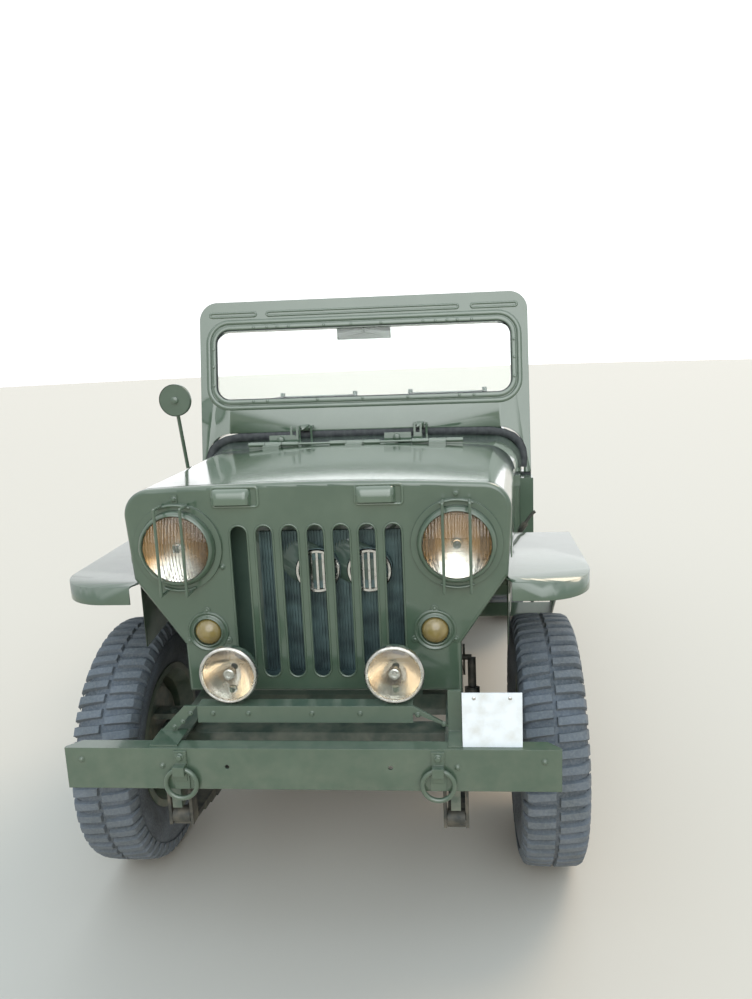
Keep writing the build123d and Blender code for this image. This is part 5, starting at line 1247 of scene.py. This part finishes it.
def upholstered(name, bm, node):
    """Cushion blown up in its cover from a slightly smaller copy of the solid."""
    bmesh.ops.recalc_face_normals(bm, faces=bm.faces)
    bm.normal_update()
    low = Vector(min(v.co[i] for v in bm.verts) for i in range(3))
    high = Vector(max(v.co[i] for v in bm.verts) for i in range(3))
    middle = (low + high) / 2
    for v in bm.verts:
        inward = middle - v.co
        v.co = Vector(c + i / max(abs(i), 1e-6) * min(PAD_SHRINK, abs(i)) for c, i in zip(v.co, inward))
    mesh = bpy.data.meshes.new(name)
    bm.to_mesh(mesh)
    bm.free()
    made = bpy.data.objects.new(name, mesh)
    bpy.context.scene.collection.objects.link(made)
    change = made.modifiers.new("even", "REMESH")
    change.mode = "VOXEL"
    change.voxel_size = PAD_VOXEL
    settle(made)
    start = [v.co.copy() for v in made.data.vertices]
    cloth = made.modifiers.new("cloth", "CLOTH")
    cloth.settings.use_pressure = True
    cloth.settings.uniform_pressure_force = COVER_PRESSURE
    cloth.settings.effector_weights.gravity = 0
    cloth.settings.quality = 5
    cloth.point_cache.frame_start = 1
    cloth.point_cache.frame_end = COVER_FRAMES
    for step in range(1, COVER_FRAMES + 1):
        bpy.context.scene.frame_set(step)
    settle(made)
    bpy.context.scene.frame_set(1)
    for vertex, at in zip(made.data.vertices, start):
        moved = vertex.co - at
        if moved.length > PAD_CAP:
            vertex.co = at + moved * (PAD_CAP / moved.length)
    smooth = made.modifiers.new("smooth", "SUBSURF")
    smooth.levels = smooth.render_levels = 1
    settle(made)
    made.data.materials.clear()
    made.data.materials.append(hide)
    made.data.shade_smooth()
    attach(made, "car")
    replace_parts(made, node)
    return made


def welt(bm, cushion):
    """Two welts round a cushion, near the edges of its thin way."""
    points = [v.co for v in cushion.data.vertices]
    middle = sum(points, Vector()) / len(points)
    yy = sum((p.y - middle.y) ** 2 for p in points)
    zz = sum((p.z - middle.z) ** 2 for p in points)
    yz = sum((p.y - middle.y) * (p.z - middle.z) for p in points)
    turn = 0.5 * atan2(2 * yz, yy - zz)
    along = Vector((0, cos(turn), sin(turn)))
    thin = Vector((0, -sin(turn), cos(turn)))
    half_x = max(abs(p.x - middle.x) for p in points)
    half_y = max(abs((p - middle).dot(along)) for p in points)
    half_z = max(abs((p - middle).dot(thin)) for p in points)
    skin = BVHTree.FromPolygons(points, [p.vertices for p in cushion.data.polygons])
    for height in (-0.62, 0.62):
        loop = []
        for x, y in rounded(half_x * 1000 - 1, half_y * 1000 - 1, 34, 6):
            rim = middle + Vector((x / 1000, 0, 0)) + along * (y / 1000) + thin * height * half_z
            loop.append(rim)
        dense = []
        for near, far in zip(loop, loop[1:] + loop[:1]):
            count = max(1, int((far - near).length / 0.02))
            dense += [near.lerp(far, i / count) for i in range(count)]
        ring = [skin.find_nearest(p)[0] for p in dense]
        wire(bm, ring + [ring[0]], 0.0036, 8)


bm = bmesh.new()
for node, kinds in (("driver_pads", ("driver_cushion", "driver_back")),
                    ("passenger_pads", ("passenger_cushion", "passenger_back")),
                    ("bench_pads", ("bench_cushion", "bench_back"))):
    for kind, part in zip(kinds, pads(node)):
        welt(bm, upholstered(kind, part, node))
piece("cushion_welts", bm, "car", hide)

# Steering wheel, levers and pedals: black moulded rubber over steel, worn smooth and a
# little shiny where hands and boots rub.
moulded, tree, shader, place = finish("black_moulded_rubber")
tree.links.new(over(tree, cloud(tree, place, 20.0, 0.4, 0.7, 6.0), colour("17191A"), colour("2B2C2B")),
               shader.inputs["Base Color"])
shader.inputs["Roughness"].default_value = 0.38
relief(tree, shader, [(cloud(tree, place, 200.0, 0.3, 0.7), 0.08)], 1.5)
coat(moulded, "steering_wheel", "levers")
